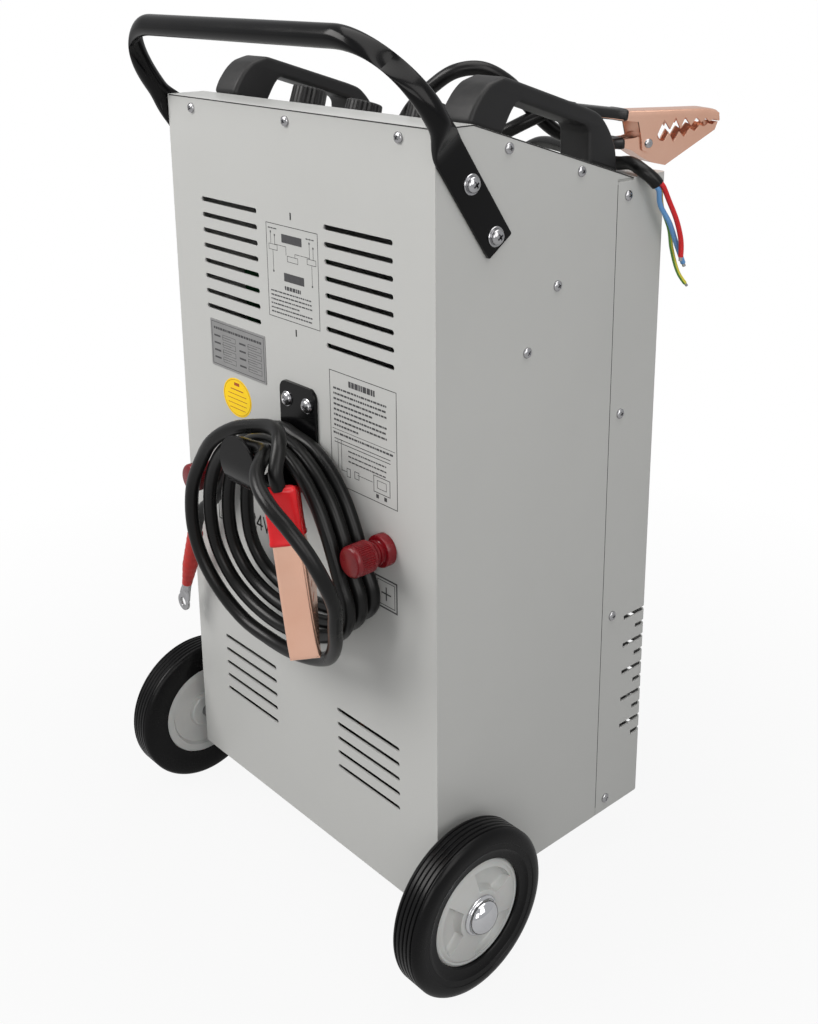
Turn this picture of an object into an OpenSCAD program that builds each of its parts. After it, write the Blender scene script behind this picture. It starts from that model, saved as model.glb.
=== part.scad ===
// Wheeled battery charger: steel cabinet on two wheels with leads, clamps and a mains cord.
// Millimetres. Cabinet coordinates: back panel at y = 0, front towards -y, cabinet floor at z = 0.

/* [Cabinet] */
// Width over the side panels
cabinet_w = 320; // [290:5:360]
// Depth from the front panel to the back panel
cabinet_d = 240; // [235:1:260]
// Height of the cabinet without its wheels
cabinet_h = 600; // [590:1:630]
// Thickness of the sheet steel
sheet = 1.5; // [1:0.1:2]
// Gap between neighbouring panels
panel_gap = 0.4; // [0.3:0.1:0.8]
// Depth of the flat strip along the top rear edge
strip_d = 34; // [30:1:38]
// Slope of the control panel in degrees
slope_deg = 17.7; // [16:0.1:19]
// Depth of the level ledge at the top front
ledge_d = 40; // [36:1:44]
// Width of the front cover's wrapped side strips
side_strip = 57.8; // [50:0.2:62]
// Radius of the front cover's upright corners
corner_r = 5; // [3:0.5:8]
// Height of the folded flanges inside the cabinet
flange_h = 14; // [10:1:16]

/* [Louvres] */
// Length of a back louvre slot
slot_l = 76; // [60:1:84]
// Height of every slot
slot_h = 4; // [3:0.5:5]
// Distance of the back slots from the middle of the cabinet
slot_x = 79.5; // [76:0.5:84]
// Number of slots in each upper group
upper_slots = 8; // [5:1:8]
// Pitch of the upper slots
upper_pitch = 12.6; // [11:0.1:13]
// Height of the highest upper slot
upper_z = 520; // [500:1:530]
// Number of slots in each lower group
lower_slots = 5; // [3:1:5]
// Pitch of the lower slots
lower_pitch = 13; // [11:0.1:14]
// Height of the highest lower slot
lower_z = 127.5; // [120:0.5:140]
// Number of long corner slots on each side
corner_slots = 5; // [3:1:5]
// Pitch of the long corner slots
corner_pitch = 25.7; // [24:0.1:27]
// Height of the highest corner slot
corner_z = 177.7; // [170:0.1:190]
// Reach of a corner slot round onto the front face
corner_reach = 36; // [20:1:44]

/* [Push handle] */
// Diameter of the handle tube
tube_d = 16; // [14:0.5:18]
// Lean of the handle behind upright in degrees
handle_lean = 34.8; // [30:0.1:40]
// Distance of the lower bolt in front of the back panel
strap_y = 51.9; // [48:0.1:56]
// Distance of the lower bolt below the cabinet's top
strap_drop = 76; // [70:1:90]
// Distance of the bar from the lower bolt along the leg
leg_l = 162; // [154:1:176]
// Width of the flattened leg
strap_w = 26; // [22:1:30]
// Thickness of the flattened leg
strap_t = 3.2; // [2.5:0.1:4]
// Length of the flattened leg above the lower bolt
strap_l = 82; // [76:1:86]
// Bend radius of the tube at its centre line
bend_r = 58; // [50:1:62]
// Distance between the two bolts of a leg
bolt_pitch = 44; // [36:1:50]

/* [Carry handles] */
// Width of a moulded handle
carry_w = 30; // [24:1:32]
// Distance of a handle's middle from the middle of the cabinet
carry_x = 136.5; // [130:0.5:138]
// Height of the grip above the panel
carry_h = 38.2; // [36:0.1:42]
// Thickness of the grip
carry_t = 12.7; // [10:0.1:14]

/* [Hook] */
// Width of the flat bar
hook_w = 45; // [38:1:50]
// Thickness of the flat bar
hook_t = 3; // [2.5:0.1:4]
// Inside radius of the hook's curve
hook_r = 27; // [26:0.5:30]
// Height of the centre of the hook's curve
hook_z = 343; // [338:1:345]
// Sideways place of the hook's middle
hook_x = -6; // [-7:0.5:-5]
// Length of the plate above the curve's centre
hook_plate = 50; // [46:1:56]
// Distance between the two hook screws
hook_pitch = 25; // [20:1:28]

/* [Wheels] */
// Tyre diameter
wheel_d = 132; // [124:1:136]
// Tyre width
tyre_w = 28; // [24:1:30]
// Hub diameter inside the tyre
hub_d = 85; // [78:1:90]
// Height of the axle above the cabinet floor
axle_z = 23; // [21:1:28]
// Distance of the axle in front of the back panel
axle_y = 9; // [9:0.5:12]
// Axle diameter
axle_d = 12; // [10:1:12]
// Distance of the wheel's outer face from the side panel
wheel_out = 38; // [36:1:44]
// Diameter of the axle cap's brim
cap_brim_d = 31; // [31:1:38]
// Diameter of the axle cap's dome
cap_dome_d = 27; // [20:0.5:27.5]
// Height of the axle cap's dome
cap_dome_h = 9; // [6:0.5:11]
// Radial clearance between an axle or shaft and what turns on it
run_clear = 0.05; // [0.02:0.01:0.08]

/* [Feet] */
// Diameter of a front foot
foot_d = 30; // [26:1:40]
// Distance of a foot's middle from the middle of the cabinet
foot_x = 45; // [40:1:60]
// Distance of a foot's middle from the front panel
foot_inset = 34; // [28:1:44]

/* [Terminals] */
// Distance of a terminal from the middle of the cabinet
post_x = 105.5; // [105:0.5:108]
// Height of the terminals
post_z = 291; // [290:1:293]
// Diameter of the insulating flange
post_flange_d = 25; // [24:0.5:27]
// Thickness of the flange and of the neck
post_step = 8; // [7:0.5:9]
// Diameter of the neck
post_neck_d = 17; // [15:0.5:18]
// Diameter of the knurled cap
post_cap_d = 24; // [22:0.5:25]
// Length of the knurled cap
post_cap_l = 19; // [16:0.5:22]
// Diameter of the brass stud
stud_d = 8; // [6:0.5:10]
// Number of knurl ridges on a cap
knurls = 44; // [30:1:60]

/* [Controls] */
// Diameter of a knob
knob_d = 28.5; // [26:0.5:30]
// Height of the two tall knobs
knob_h = 18; // [16:0.5:20]
// Height of the low middle knob
low_knob_h = 12; // [11:0.5:14]
// Spacing of the knobs
knob_pitch = 70; // [66:1:74]
// Distance of the knobs down the slope from its top edge
knob_a = 39; // [37:1:42]
// Diameter of a switch shaft
shaft_d = 6; // [5:0.5:6.5]
// Number of flutes round a knob
flutes = 24; // [16:1:30]
// Width of the ammeter
meter_w = 56; // [50:1:58]
// Length of the ammeter down the slope
meter_l = 48; // [44:1:50]
// Height of the ammeter above the panel
meter_h = 9; // [8:0.5:11]
// Sideways place of the ammeter and the power switch
meter_x = 78; // [76:1:80]
// Distance of the ammeter's middle down the slope
meter_a = 92; // [90:1:94]
// Width of the power switch
rocker_w = 30; // [26:1:32]
// Length of the power switch down the slope
rocker_l = 22; // [20:1:24]
// Distance of the power switch's middle down the slope
rocker_a = 140; // [138:1:142]

/* [Power unit] */
// Width of the transformer core
core_w = 150; // [130:1:160]
// Depth of the transformer core
core_d = 70; // [60:1:80]
// Height of the transformer core
core_h = 125; // [115:1:135]
// Width of the core's limbs
limb = 30; // [26:1:32]
// Width of the heat sink
sink_w = 120; // [100:1:130]
// Height of the heat sink
sink_h = 80; // [70:1:84]
// Side of the square fan
fan_size = 92; // [80:1:94]
// Thickness of the fan
fan_t = 25; // [20:1:28]

/* [Leads and clamps] */
// Diameter of the two charging leads
lead_d = 11; // [10:0.1:11]
// Diameter of the mains cord
mains_d = 10.5; // [9:0.1:10.5]
// Diameter of a mains core
core_wire_d = 4; // [3.5:0.1:4.4]
// Width of a clamp jaw over its cheeks
jaw_w = 23; // [21:0.5:25]
// Thickness of the jaw sheet
jaw_t = 1.5; // [1.2:0.1:1.8]
// Diameter of a clamp rivet
rivet_d = 4; // [3.5:0.5:4.5]
// Length of a clamp grip
grip_l = 44; // [38:1:45]
// Height of a clamp grip
grip_h = 10; // [9.4:0.1:10]

/* [Hidden] */
$fn = 64;

light_grey = [0.78, 0.78, 0.76];
gloss_black = [0.05, 0.05, 0.05];
soft_black = [0.1, 0.1, 0.1];
post_red = [0.45, 0.05, 0.08];
grip_red = [0.85, 0.12, 0.12];
copper = [0.85, 0.52, 0.4];
steel = [0.75, 0.75, 0.77];

// ---- derived sizes
slope_y = cabinet_d - ledge_d;
ledge_z = cabinet_h - (slope_y - strip_d) * tan(slope_deg);
strap_z = cabinet_h - strap_drop;
wheel_r = wheel_d / 2;
wheel_x = cabinet_w / 2 + wheel_out;
base_z = wheel_r - axle_z;
post_reach = 2 * post_step + post_cap_l;
hook_reach = 2 * hook_r + 2 * hook_t;
gland_l = 34;
gland_z = 28;
rear_reach = max(hook_reach, wheel_r - axle_y, post_reach, strap_reach());
front_reach = cabinet_d + gland_l;
shift_y = (front_reach - rear_reach) / 2;
leg_x = cabinet_w / 2 + tube_d / 2 + 0.2;
touch = 0.1;
eps = 0.5;

function strap_reach() = leg_l * sin(handle_lean) - strap_y + tube_d / 2;

// ---- frames
module placed() {
    translate([0, shift_y, base_z]) children();
}

module on_slope() {
    translate([0, -strip_d, cabinet_h]) rotate([slope_deg, 0, 0]) children();
}

module mirrored() {
    children();
    mirror([1, 0, 0]) children();
}

// A profile drawn as [distance in front of the back panel, height], swept across the width
module across(width) {
    rotate([90, 0, -90]) linear_extrude(width, center = true) children();
}

module stadium(length, height) {
    square([length - height, height], center = true);
    for (s = [-1, 1]) translate([s * (length - height) / 2, 0]) circle(d = height);
}

module ring(r_out, r_in, height) {
    difference() {
        cylinder(r = r_out, h = height);
        translate([0, 0, -eps]) cylinder(r = r_in, h = height + 2 * eps);
    }
}

// ---- fasteners
screw_r = 2;
screw_head_r = 4;
rear_screws = [for (x = [-125, 0, 125]) [x, cabinet_h - 8.5]];
slope_screws = [for (d = [67, 141]) [d, cabinet_h - (d - strip_d) * tan(slope_deg) - 8]];
side_screws = concat(slope_screws, [for (p = [[118.3, 122], [87.9, 166]]) [p[0], cabinet_h - p[1]]]);
strip_screws = [for (z = [12, 186, 362, ledge_z - 13]) [side_strip_y(), z]];

function side_strip_y() = cabinet_d - side_strip + 12.4;

module on_back(p) {
    translate([p[0], 0, p[1]]) rotate([-90, 0, 0]) children();
}

module on_side(p) {
    translate([cabinet_w / 2, -p[0], p[1]]) rotate([0, 90, 0]) children();
}

module pan_head(head_r, head_h, shank_r, shank_l) {
    rotate_extrude()
        polygon(concat([[0, -shank_l], [shank_r, -shank_l], [shank_r, 0]],
            [for (a = [0:15:90]) [head_r * cos(a), head_h * (0.3 + 0.7 * sin(a))]],
            [[0, head_h]]));
}

module drill(r) {
    translate([0, 0, -3 * sheet]) cylinder(r = r, h = 4 * sheet);
}

module cover_screws() {
    color(steel) {
        for (p = rear_screws) on_back(p) cover_screw();
        mirrored() for (p = concat(side_screws, strip_screws)) on_side(p) cover_screw();
    }
}

module cover_screw() {
    pan_head(screw_head_r, 2.6, screw_r, sheet - touch);
}

// ---- cabinet
module rear_side() {
    polygon([[0, 0], [0, cabinet_h], [strip_d, cabinet_h], [slope_y, ledge_z],
        [cabinet_d - side_strip, ledge_z], [cabinet_d - side_strip, 0]]);
}

module back_slots() {
    for (s = [-1, 1]) {
        for (i = [0:upper_slots - 1]) back_slot(s * slot_x, upper_z - i * upper_pitch);
        for (i = [0:lower_slots - 1]) back_slot(s * slot_x, lower_z - i * lower_pitch);
    }
}

module back_slot(x, z) {
    translate([x, eps, z]) rotate([90, 0, 0]) linear_extrude(sheet + 2 * eps) stadium(slot_l, slot_h);
}

module rear_cover() {
    color(light_grey) difference() {
        union() {
            translate([-cabinet_w / 2, -sheet, 0]) cube([cabinet_w, sheet, cabinet_h]);
            mirrored() translate([(cabinet_w - sheet) / 2, 0, 0]) across(sheet) rear_side();
        }
        back_slots();
        for (p = rear_screws) on_back(p) drill(screw_r + touch);
        mirrored() {
            for (p = side_screws) on_side(p) drill(screw_r + touch);
            on_side([axle_y, axle_z]) drill(axle_d / 2 + 0.5);
            for (i = [0, 1]) strap_frame() strap_bolt_place(i) drill(bolt_r + touch);
        }
        for (s = [-1, 1]) {
            on_back([s * post_x, post_z]) drill(stud_d / 2 + 1);
            on_back([hook_x + s * hook_pitch / 2, hook_z + hook_plate - 14]) drill(hook_screw_r + touch);
        }
    }
}

module front_plan(inset) {
    w = cabinet_w / 2 - inset;
    d = cabinet_d - inset;
    r = max(corner_r - inset, 0.5);
    translate([-w, r - d]) square([2 * w, d - r]);
    translate([r - w, -d]) square([2 * (w - r), r + 1]);
    for (s = [-1, 1]) translate([s * (w - r), r - d]) circle(r);
}

module front_cover() {
    seam = cabinet_d - side_strip + panel_gap;
    color(light_grey) difference() {
        linear_extrude(ledge_z) front_plan(0);
        translate([0, 0, -eps]) linear_extrude(ledge_z - sheet + eps) front_plan(sheet);
        translate([-cabinet_w, -seam, -eps]) cube([2 * cabinet_w, cabinet_d, cabinet_h]);
        translate([-cabinet_w, -slope_y - panel_gap, ledge_z - sheet - panel_gap])
            cube([2 * cabinet_w, cabinet_d, cabinet_h]);
        mirrored() {
            corner_slots_cut();
            for (p = strip_screws) on_side(p) drill(screw_r + touch);
        }
        for (x = gland_x) translate([x, -cabinet_d, gland_z])
            rotate([90, 0, 0]) drill(gland_neck_r + touch);
    }
}

module corner_slots_cut() {
    for (i = [0:corner_slots - 1]) {
        corner_slot(29.5, corner_z - i * corner_pitch);
        corner_slot(14.2, corner_z - (i + 0.5) * corner_pitch);
    }
}

module corner_slot(depth, z) {
    translate([cabinet_w / 2 - corner_reach, -cabinet_d - eps, z - slot_h / 2])
        cube([corner_reach + eps, depth + eps, slot_h]);
}

module top_panel() {
    inset = sheet + panel_gap;
    width = cabinet_w - 2 * inset;
    skin = sheet / cos(slope_deg);
    color(light_grey) difference() {
        union() {
            across(width) polygon([[inset, cabinet_h], [strip_d, cabinet_h],
                [slope_y, ledge_z], [slope_y, ledge_z - skin],
                [strip_d, cabinet_h - skin], [inset + sheet, cabinet_h - skin],
                [inset + sheet, cabinet_h - flange_h], [inset, cabinet_h - flange_h]]);
            mirrored() translate([(width - sheet) / 2, 0, 0]) across(sheet)
                polygon([[inset, cabinet_h - sheet], [strip_d, cabinet_h - sheet],
                    [slope_y, ledge_z - sheet], [slope_y, ledge_z - flange_h],
                    [strip_d, cabinet_h - flange_h], [inset, cabinet_h - flange_h]]);
        }
        on_slope() {
            for (i = [-1:1]) translate([i * knob_pitch, -knob_a, 0]) drill(shaft_d / 2 + 1);
            translate([meter_x, -meter_a, 0]) drill(meter_body_r + touch);
            translate([meter_x, -rocker_a, 0]) cube(
                [rocker_w - 4 + 2 * touch, rocker_l - 4 + 2 * touch, 4 * sheet], center = true);
        }
    }
}

module base_plan(inset) {
    difference() {
        front_plan(inset);
        translate([-cabinet_w, -inset]) square([2 * cabinet_w, inset + 1]);
    }
}

module base_plate() {
    inset = sheet + panel_gap;
    color(light_grey) difference() {
        linear_extrude(flange_h) base_plan(inset);
        translate([0, 0, sheet]) linear_extrude(flange_h) base_plan(inset + sheet);
        for (s = [-1, 1]) foot_place(s) translate([0, 0, -eps]) cylinder(r = 4, h = 3 * sheet);
    }
}

plate_size = [77, 0.5, 40];
plate_place = [75.5, plate_size[1] / 2, cabinet_h - 198.3];

module rating_plate() {
    color([0.7, 0.7, 0.7]) translate(plate_place) cube(plate_size, center = true);
}

// ---- push handle
bolt_r = 3;

module strap_frame() {
    translate([0, -strap_y, strap_z]) rotate([-handle_lean, 0, 0]) children();
}

module strap_bolt_place(i) {
    translate([cabinet_w / 2, i * -3, i * bolt_pitch]) rotate([0, 90, 0]) children();
}

module push_handle() {
    color(gloss_black) strap_frame() {
        mirrored() handle_leg();
        translate([0, 0, leg_l]) rotate([0, 90, 0])
            cylinder(d = tube_d, h = 2 * (leg_x - bend_r), center = true);
    }
}

module handle_leg() {
    end = 9;
    round_z = strap_l + 18;
    difference() {
        union() {
            translate([cabinet_w / 2, -strap_w / 2, -end]) cube([strap_t, strap_w, end + strap_l]);
            hull() {
                translate([cabinet_w / 2, -strap_w / 2, strap_l - 0.5]) cube([strap_t, strap_w, 0.5]);
                translate([leg_x, 0, round_z]) cylinder(d = tube_d, h = 0.5, $fn = 32);
            }
        }
        for (i = [0, 1]) strap_bolt_place(i) translate([0, 0, -1])
            cylinder(r = bolt_r + touch, h = strap_t + 2);
    }
    translate([leg_x, 0, round_z]) cylinder(d = tube_d, h = leg_l - bend_r - round_z);
    translate([leg_x - bend_r, 0, leg_l - bend_r]) rotate([90, 0, 0])
        rotate_extrude(angle = 90) translate([bend_r, 0]) circle(d = tube_d);
}

module handle_bolts() {
    color(steel) mirrored() for (i = [0, 1]) strap_frame() strap_bolt_place(i)
        translate([0, 0, strap_t]) {
            pan_head(5.5, 4.4, bolt_r, strap_t + 8);
            difference() {
                cylinder(r1 = 7.25, r2 = 6.4, h = 1.2);
                translate([0, 0, -eps]) cylinder(r = 5, h = 3);
            }
        }
}

// ---- carry handles
module carry_profile() {
    h = carry_h;
    difference() {
        polygon([[4, 0], [5, 10], [9.5, 22], [15, 30], [21, 34], [27.5, h - 0.4], [32, h],
            [118, h], [131, h - 0.7], [142, 32], [151, 25], [158.7, 16.5], [164.4, 3], [164.8, 0]]);
        polygon([[37.5, -1], [38, 2], [42, 18], [45, h - carry_t - 1.5], [47.5, h - carry_t],
            [118, h - carry_t], [121, h - carry_t - 1], [124, 22], [130.7, 2.6], [131, -1]]);
    }
}

module carry_handle(side) {
    color(soft_black) on_slope() translate([side * carry_x, 0, 0]) across(carry_w) carry_profile();
}

module carry_handle_left() { carry_handle(1); }
module carry_handle_right() { carry_handle(-1); }

// ---- cable hook
hook_screw_r = 3;

module cable_hook() {
    color(gloss_black) translate([hook_x, 0, hook_z]) {
        difference() {
            translate([0, hook_t, 0]) rotate([90, 0, 0]) linear_extrude(hook_t) hook_plate_shape();
            for (s = [-1, 1]) translate([s * hook_pitch / 2, 0, hook_plate - 14])
                rotate([-90, 0, 0]) translate([0, 0, -1]) cylinder(r = hook_screw_r + touch, h = 6);
        }
        difference() {
            translate([-hook_w / 2, hook_t + hook_r, 0]) rotate([0, 90, 0])
                ring(hook_r + hook_t, hook_r, hook_w);
            translate([-hook_w, -eps, 0]) cube([2 * hook_w, 3 * hook_r + hook_t, 2 * hook_r]);
        }
        intersection() {
            translate([0, 2 * hook_r + 2 * hook_t, 0]) rotate([90, 0, 0])
                linear_extrude(hook_t) circle(d = hook_w);
            translate([-hook_w, 0, 0]) cube([2 * hook_w, 3 * hook_r, hook_w]);
        }
    }
}

module hook_plate_shape() {
    r = 8;
    translate([-hook_w / 2, 0]) square([hook_w, hook_plate - r]);
    translate([-hook_w / 2 + r, 0]) square([hook_w - 2 * r, hook_plate]);
    for (s = [-1, 1]) translate([s * (hook_w / 2 - r), hook_plate - r]) circle(r);
}

module hook_screws() {
    color(steel) for (s = [-1, 1])
        translate([hook_x + s * hook_pitch / 2, hook_t, hook_z + hook_plate - 14]) rotate([-90, 0, 0]) {
            pan_head(5.2, 3.4, hook_screw_r, hook_t + 6);
            difference() {
                cylinder(r = 6.2, h = 0.8);
                translate([0, 0, -eps]) cylinder(r = 4.8, h = 3);
            }
        }
}

// ---- wheels, the axis along x
module axle_frame() {
    translate([0, -axle_y, axle_z]) rotate([0, 90, 0]) children();
}

module axle() {
    color(steel) axle_frame() cylinder(d = axle_d, h = 2 * (wheel_x + 4), center = true);
}

module axle_brackets() {
    plate = 4;
    depth = 44 - 2 * sheet - 2 * panel_gap;
    x = cabinet_w / 2 - 22;
    color([0.3, 0.3, 0.3]) mirrored() difference() {
        union() {
            translate([x, -44, sheet]) cube([plate, depth, axle_z + 16]);
            translate([x - 24, -44, sheet]) cube([24 + plate, depth, plate]);
            translate([x, 0, 0]) axle_frame() cylinder(r = axle_d / 2 + 1.5, h = 10);
        }
        translate([x - 1, 0, 0]) axle_frame() cylinder(r = axle_d / 2 + touch, h = 30);
    }
}

module hub(side) {
    r = hub_d / 2;
    bore = axle_d / 2 + run_clear;
    color([0.85, 0.85, 0.83]) rotate_wheel(side) difference() {
        rotate_extrude() polygon([[bore, 1], [15, 1], [17, 6], [r - 8, 6], [r - 6, 3], [r, 3],
            [r, tyre_w - 5], [r - 4, tyre_w - 3.5], [19, tyre_w - 1.5], [bore, tyre_w - 1.5]]);
        for (i = [0:2]) rotate([0, 0, 120 * i + 20]) rotate_extrude(angle = 62)
            translate([20, tyre_w - 6.5]) square([r - 28, 8]);
    }
}

module rotate_wheel(side) {
    translate([side * (wheel_x - tyre_w), -axle_y, axle_z]) rotate([0, side * 90, 0]) children();
}

module tyre(side) {
    seat = hub_d / 2 + touch;
    r = wheel_r;
    grooves = [for (i = [0:4]) let (z = 5.5 + i * 4) each [[r, z], [r - 1.2, z + 0.5],
        [r - 1.2, z + 1.2], [r, z + 1.7]]];
    color([0.08, 0.08, 0.08]) rotate_wheel(side) rotate_extrude() polygon(concat(
        [[seat, 2], [r - 8, 1], [r - 3, 2], [r - 0.8, 3.6]], grooves,
        [[r - 0.8, tyre_w - 3.6], [r - 3, tyre_w - 1.4], [r - 7, tyre_w],
            [r - 15, tyre_w - 0.6], [r - 18, tyre_w - 2.5], [seat, tyre_w - 3]]));
}

module wheel_hub_left() { hub(1); }
module wheel_hub_right() { hub(-1); }
module tyre_left() { tyre(1); }
module tyre_right() { tyre(-1); }

module axle_caps() {
    r = cap_dome_d / 2;
    hole = axle_d / 2 + touch;
    color(steel) mirrored() translate([wheel_x - 1.2, -axle_y, axle_z]) rotate([0, 90, 0])
        difference() {
            rotate_extrude() polygon(concat([[0, 0], [cap_brim_d / 2, 0], [cap_brim_d / 2, 1],
                [cap_brim_d / 2 - 1, 1.6], [r + 0.5, 1.8]],
                [for (a = [0:10:90]) [r * cos(a), 2 + cap_dome_h * sin(a)]]));
            translate([0, 0, -eps]) cylinder(r = hole, h = eps + 5.2 + touch);
        }
}

module foot_place(side) {
    translate([side * foot_x, foot_inset - cabinet_d, 0]) children();
}

module front_feet() {
    color([0.12, 0.12, 0.12]) for (s = [-1, 1]) foot_place(s) {
        translate([0, 0, -base_z]) rotate_extrude() polygon([[0, 0], [foot_d / 2 - 2, 0],
            [foot_d / 2, 3], [foot_d / 2 - 3, base_z], [0, base_z]]);
        cylinder(r = 4 - touch, h = sheet + 1);
        translate([0, 0, sheet]) cylinder(r = 9, h = 3);
    }
}

// ---- terminals
module terminal_bases() {
    color(post_red) for (s = [-1, 1]) on_back([s * post_x, post_z]) difference() {
        union() {
            cylinder(d = post_flange_d, h = post_step);
            translate([0, 0, post_step - touch])
                rotate_extrude() polygon([[0, 0], [post_neck_d / 2, 0], [post_neck_d / 2, 2.4],
                    [post_neck_d / 2 + 1.2, 2.8], [post_neck_d / 2 + 1.2, 3.6],
                    [post_neck_d / 2, 4], [post_neck_d / 2, 5.4], [post_neck_d / 2 + 1, 5.8],
                    [post_neck_d / 2 + 1, 6.6], [post_neck_d / 2 - 1, post_step - 0.2],
                    [0, post_step - 0.2]]);
        }
        translate([0, 0, -eps]) cylinder(r = stud_d / 2 + touch, h = 3 * post_step);
    }
}

module terminal_studs() {
    color([0.8, 0.65, 0.3]) for (s = [-1, 1]) on_back([s * post_x, post_z]) {
        translate([0, 0, -16]) cylinder(d = stud_d, h = 16 + post_reach - 4);
        translate([0, 0, -sheet - 6]) cylinder(d = stud_d + 7, h = 6, $fn = 6);
    }
}

module terminal_cap(side) {
    r = post_cap_d / 2;
    color(post_red) on_back([side * post_x, post_z]) translate([0, 0, 2 * post_step]) difference() {
        union() {
            linear_extrude(post_cap_l - 1.5) polygon([for (i = [0:2 * knurls - 1])
                (r - 0.5 * (i % 2)) * [cos(180 * i / knurls), sin(180 * i / knurls)]]);
            cylinder(r = r - 1.2, h = post_cap_l);
        }
        translate([0, 0, -eps])
            cylinder(r = stud_d / 2 + run_clear, h = post_cap_l - 4 + 0.3 + eps);
    }
}

module terminal_cap_left() { terminal_cap(1); }
module terminal_cap_right() { terminal_cap(-1); }

// ---- controls
module knob_place(i) {
    on_slope() translate([i * knob_pitch, -knob_a, 0]) children();
}

module knob(i, height) {
    r = knob_d / 2;
    color(soft_black) knob_place(i) translate([0, 0, 0.3]) difference() {
        union() {
            cylinder(r = r + 1, h = 2);
            linear_extrude(height) polygon([for (k = [0:4 * flutes - 1])
                (r - (k % 4 < 2 ? 0 : 0.9)) * [cos(90 * k / flutes), sin(90 * k / flutes)]]);
        }
        translate([0, 0, -eps]) cylinder(r = shaft_d / 2 + run_clear, h = height - 3 + eps);
    }
}

module voltage_knob() { knob(1, knob_h); }
module current_knob() { knob(0, low_knob_h); }
module timer_knob() { knob(-1, knob_h); }

module rotary_switches() {
    color([0.2, 0.2, 0.22]) for (i = [-1:1]) knob_place(i) {
        translate([0, 0, -sheet - 26]) cylinder(d = 34, h = 26);
        translate([0, 0, -sheet - 1])
            cylinder(d = shaft_d, h = sheet + (i == 0 ? low_knob_h : knob_h) - 2.5);
    }
}

module rocker_place() {
    on_slope() translate([meter_x, -rocker_a, 0]) children();
}

rocker_tilt = 10;

module switch_housing() {
    color(soft_black) rocker_place() difference() {
        union() {
            translate([-rocker_w / 2, -rocker_l / 2, 0]) cube([rocker_w, rocker_l, 2]);
            translate([2 - rocker_w / 2, 2 - rocker_l / 2, -18]) cube([rocker_w - 4, rocker_l - 4, 19]);
        }
        translate([4 - rocker_w / 2, 3.6 - rocker_l / 2, -9]) cube([rocker_w - 8, rocker_l - 7.2, 12]);
        translate([0, 0, -1]) rotate([90, 0, 0])
            cylinder(r = 1.2 + run_clear, h = rocker_l - 5, center = true);
    }
}

module switch_rocker() {
    half = rocker_w / 2 - 4.8;
    color([0.75, 0.1, 0.1]) rocker_place() translate([0, 0, -1]) rotate([0, rocker_tilt, 0])
        rotate([90, 0, 0]) {
            linear_extrude(rocker_l - 8, center = true) polygon([[-half, -1], [half, -1],
                [half, 4.5], [half / 2, 3.4], [0, 3], [-half / 2, 3.4], [-half, 4.5]]);
            cylinder(r = 1.2, h = rocker_l - 6, center = true);
        }
}

meter_body_r = 20;
needle_deg = 40;

module meter_place() {
    on_slope() translate([meter_x, -meter_a, 0]) children();
}

module meter_case() {
    w = meter_w / 2;
    l = meter_l / 2;
    color(soft_black) meter_place() {
        difference() {
            translate([-w, -l, 0]) cube([meter_w, meter_l, meter_h]);
            translate([2 - w, 2 - l, 2]) cube([meter_w - 4, meter_l - 4, meter_h]);
        }
        translate([0, 0, -26]) cylinder(r = meter_body_r, h = 26);
        translate([0, 8 - l, 1]) cylinder(r = 1.5, h = meter_h - 4);
    }
}

module meter_needle() {
    color([0.7, 0.1, 0.1]) meter_place() translate([0, 8 - meter_l / 2, 3])
        rotate([0, 0, needle_deg]) {
            ring(3, 1.5 + run_clear, 1);
            translate([-0.5, 2.5, 0]) cube([1, 22, 1]);
        }
}

module meter_window() {
    color([0.8, 0.9, 0.95]) meter_place()
        translate([2.1 - meter_w / 2, 2.1 - meter_l / 2, meter_h - 2])
            cube([meter_w - 4.2, meter_l - 4.2, 1.5]);
}

// ---- power unit
core_y = -120;

module transformer_core() {
    w = (core_w - 4 * limb) / 2;
    color([0.35, 0.35, 0.37]) difference() {
        translate([-core_w / 2, core_y - core_d / 2, sheet]) cube([core_w, core_d, core_h]);
        translate([0, core_y, 0]) for (s = [-1, 1])
            translate([s * (limb + w / 2), 0, sheet + core_h / 2])
                cube([w, core_d + 2, core_h - 2 * limb], center = true);
    }
}

module transformer_windings() {
    w = (core_w - 4 * limb) / 2;
    z = core_h - 2 * limb - 1;
    x = limb + w - 0.5;
    color([0.7, 0.4, 0.2]) translate([0, core_y, sheet + core_h / 2]) difference() {
        cube([2 * x, core_d + 2 * w, z], center = true);
        cube([2 * limb + 0.6, core_d + 0.6, z + 2], center = true);
    }
}

sink_z = 182;
sink_t = 34;
sink_base = 8;
diode_h = 8;
sink_fins = 10;
fin_t = 3;

module rectifier_heatsink() {
    color([0.7, 0.7, 0.72]) translate([-sink_w / 2, -sheet - sink_t, sink_z]) {
        cube([sink_w, sink_base, sink_h]);
        for (i = [0:sink_fins - 1]) translate([i * (sink_w - fin_t) / (sink_fins - 1), sink_base - 1, 0])
            cube([fin_t, sink_t - sink_base + 1, sink_h]);
    }
}

module rectifier_diodes() {
    color([0.2, 0.2, 0.2]) for (s = [-1, 1], h = [0.3, 0.7])
        translate([s * sink_w / 4, -sheet - sink_t, sink_z + h * sink_h]) rotate([90, 0, 0]) {
            cylinder(r = 9, h = diode_h);
            cylinder(r = 3, h = diode_h + 10);
        }
}

board_size = [1.6, 90, 120];
board_place = [cabinet_w / 2 - sheet, 90 - cabinet_d, cabinet_h / 2 + 30];
post_h = 10;
relay_size = [17, 22, 24];

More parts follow.
